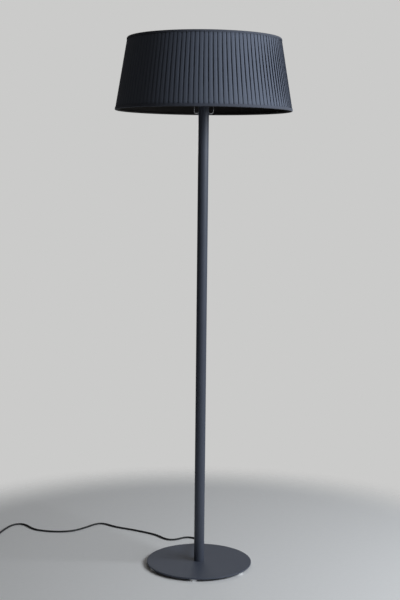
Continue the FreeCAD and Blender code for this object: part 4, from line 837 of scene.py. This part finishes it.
# Overlaps, wander and dip are shares of a pleat's pitch, flat ends and face slope of its depth.
cloth = grown("pleated_cloth", tree, {
    "Pleats": PLEATS, "Columns": 20, "Rows": 16, "Face Share": 0.7, "Depth": PLEAT_DEPTH,
    "Low Overlap": LOW_OVERLAP, "High Overlap": HIGH_OVERLAP, "Wander": 0.1, "Flat Ends": 0.4,
    "Face Slope": 0.36, "Dip Start": 0.44, "Low Radius": cone_r(cloth_low) - RIM_FOLD,
    "High Radius": cone_r(cloth_high) - RIM_FOLD, "Low": cloth_low, "High": cloth_high,
    "Seed": 3.0, "Material": cloth_look,
})
cloth.data.shade_smooth()
cloth.data.set_sharp_from_angle(angle=SHARP_FOLD)
thick = cloth.modifiers.new("thickness", "SOLIDIFY")
thick.thickness = CLOTH_THICK
thick.offset = -1
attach(cloth, "stand")
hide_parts("shade_cloth")
cloth_area = sum(polygon.area for polygon in cloth.data.polygons)
print("shade cloth: %d faces, area %.3f" % (len(cloth.data.polygons), cloth_area))

# %% [markdown]
# ## Bindings
# A strip of tape is folded over each rim and hides the ends of the pleats. In section it is a
# narrow U with rounded folds. A bent band from a modifier would pinch at its folds, so the section
# is written as two lines, face and back, each with two quarter circles.

# %% Bindings: section
BOTTOM_BINDING_H = 0.0095
TOP_BINDING_H = 0.0078
BINDING_OUT = 0.0008
BINDING_DEEP = 0.00785
BINDING_ROUND = 0.0038
BEND_STEPS = 6


def rounded_u(edge, towards, inset, hem):
    """Line from hem to hem, as inset from the cone and height, at an inset from the face."""
    low = edge + towards * inset
    deep = BINDING_DEEP - inset
    bend = BINDING_ROUND - inset
    quarter = [math.pi / 2 * step / BEND_STEPS for step in range(BEND_STEPS + 1)]
    outer = [(inset + bend * (1 - math.cos(turn)), low + towards * bend * (1 - math.sin(turn)))
             for turn in quarter]
    inner = [(deep - bend * (1 - math.sin(turn)), low + towards * bend * (1 - math.cos(turn)))
             for turn in quarter]
    return [(inset, hem)] + outer + inner + [(deep, hem)]


def u_section(edge, height):
    """Closed section of a binding of some height from an edge: its face, then its back."""
    towards = math.copysign(1, height)
    hem = edge + height
    return rounded_u(edge, towards, 0, hem) + rounded_u(edge, towards, BINDING_OUT, hem)[::-1]


sections = {
    "bottom": u_section(shade_low, BOTTOM_BINDING_H),
    "top": u_section(shade_high, -TOP_BINDING_H),
}
print("bindings: sections of", [len(section) for section in sections.values()], "points")

# %% [markdown]
# The section is turned round the shade's axis. The strip is glued over the pleats, so its face
# swells very slightly over each of them. A map along the strip, in metres, carries the weave.

# %% Bindings: turn the section
BINDING_SWELL = 0.00022
COLUMNS_PER_PLEAT = 6
SHARP_HEM = math.radians(50)
binding_columns = PLEATS * COLUMNS_PER_PLEAT


def strip_ring(shape, section, step):
    """Points of the section at one step round the axis."""
    angle = FULL_TURN * step / binding_columns
    sink = BINDING_SWELL * (step % COLUMNS_PER_PLEAT) / COLUMNS_PER_PLEAT
    ring = []
    for inset, z in section:
        radius = cone_r(z) - inset - (sink if inset < BINDING_OUT / 2 else 0)
        ring.append(shape.verts.new((radius * math.cos(angle), radius * math.sin(angle), z)))
    return ring


def run_lengths(section):
    """Length along the closed section at each of its points and back at the first."""
    lengths = [0]
    corners = section + section[:1]
    for (inset, z), (next_inset, next_z) in zip(corners, corners[1:]):
        lengths.append(lengths[-1] + math.hypot(next_inset - inset, next_z - z))
    return lengths


def turned_strip(name, section):
    """Closed ring turned from a section, with a map that runs along it in metres."""
    shape = bmesh.new()
    map_layer = shape.loops.layers.uv.new("UVMap")
    rings = [strip_ring(shape, section, step) for step in range(binding_columns)]
    lengths = run_lengths(section)
    around = FULL_TURN * rim_r / binding_columns
    for step, ring in enumerate(rings):
        following = rings[(step + 1) % binding_columns]
        for place in range(len(section)):
            after = (place + 1) % len(section)
            side = shape.faces.new((ring[place], ring[after], following[after], following[place]))
            spots = ((step, place), (step, place + 1), (step + 1, place + 1), (step + 1, place))
            for loop, (column, point) in zip(side.loops, spots):
                loop[map_layer].uv = (column * around, lengths[point])
    bmesh.ops.recalc_face_normals(shape, faces=shape.faces)
    mesh = bpy.data.meshes.new(name)
    shape.to_mesh(mesh)
    shape.free()
    mesh.shade_smooth()
    mesh.set_sharp_from_angle(angle=SHARP_HEM)
    return put(name, mesh)


print("bindings: rings of", binding_columns, "columns")

# %% [markdown]
# The tape has a coarser weave than the pleated cloth. On the side that is turned into the shade it
# has the dark skin of the lining, because one strip with two materials needs no second mesh there.

# %% Bindings: make them
LINED_FROM = 0.8

binding_look = finish("anthracite_binding_tape", weave(
    rgb(66, 71, 84), rgb(79, 85, 100), thread=0.0007, depth=0.00015, rough=0.75))
for name, section in sections.items():
    strip = turned_strip(name + "_binding_tape", section)
    strip.data.materials.append(binding_look)
    strip.data.materials.append(lining)
    for side in strip.data.polygons:
        inset = cone_r(side.center.z) - side.center.xy.length
        side.material_index = int(inset > BINDING_DEEP * LINED_FROM)
    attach(strip, "stand")
    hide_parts("shade_%s_binding" % name)

# %% [markdown]
# The pleats were folded from one straight strip. The run of one pleat's face and of its return is
# taken at the rim. The top has less room for the same strip, which is why the pleats overlap more
# there.

pitch = FULL_TURN * (cone_r(cloth_low) - RIM_FOLD) / PLEATS
face_run = math.hypot(pitch * (1 + LOW_OVERLAP), PLEAT_DEPTH)
fold_run = math.hypot(pitch * LOW_OVERLAP, PLEAT_DEPTH)

# %% Update the scene
bpy.context.view_layer.update()
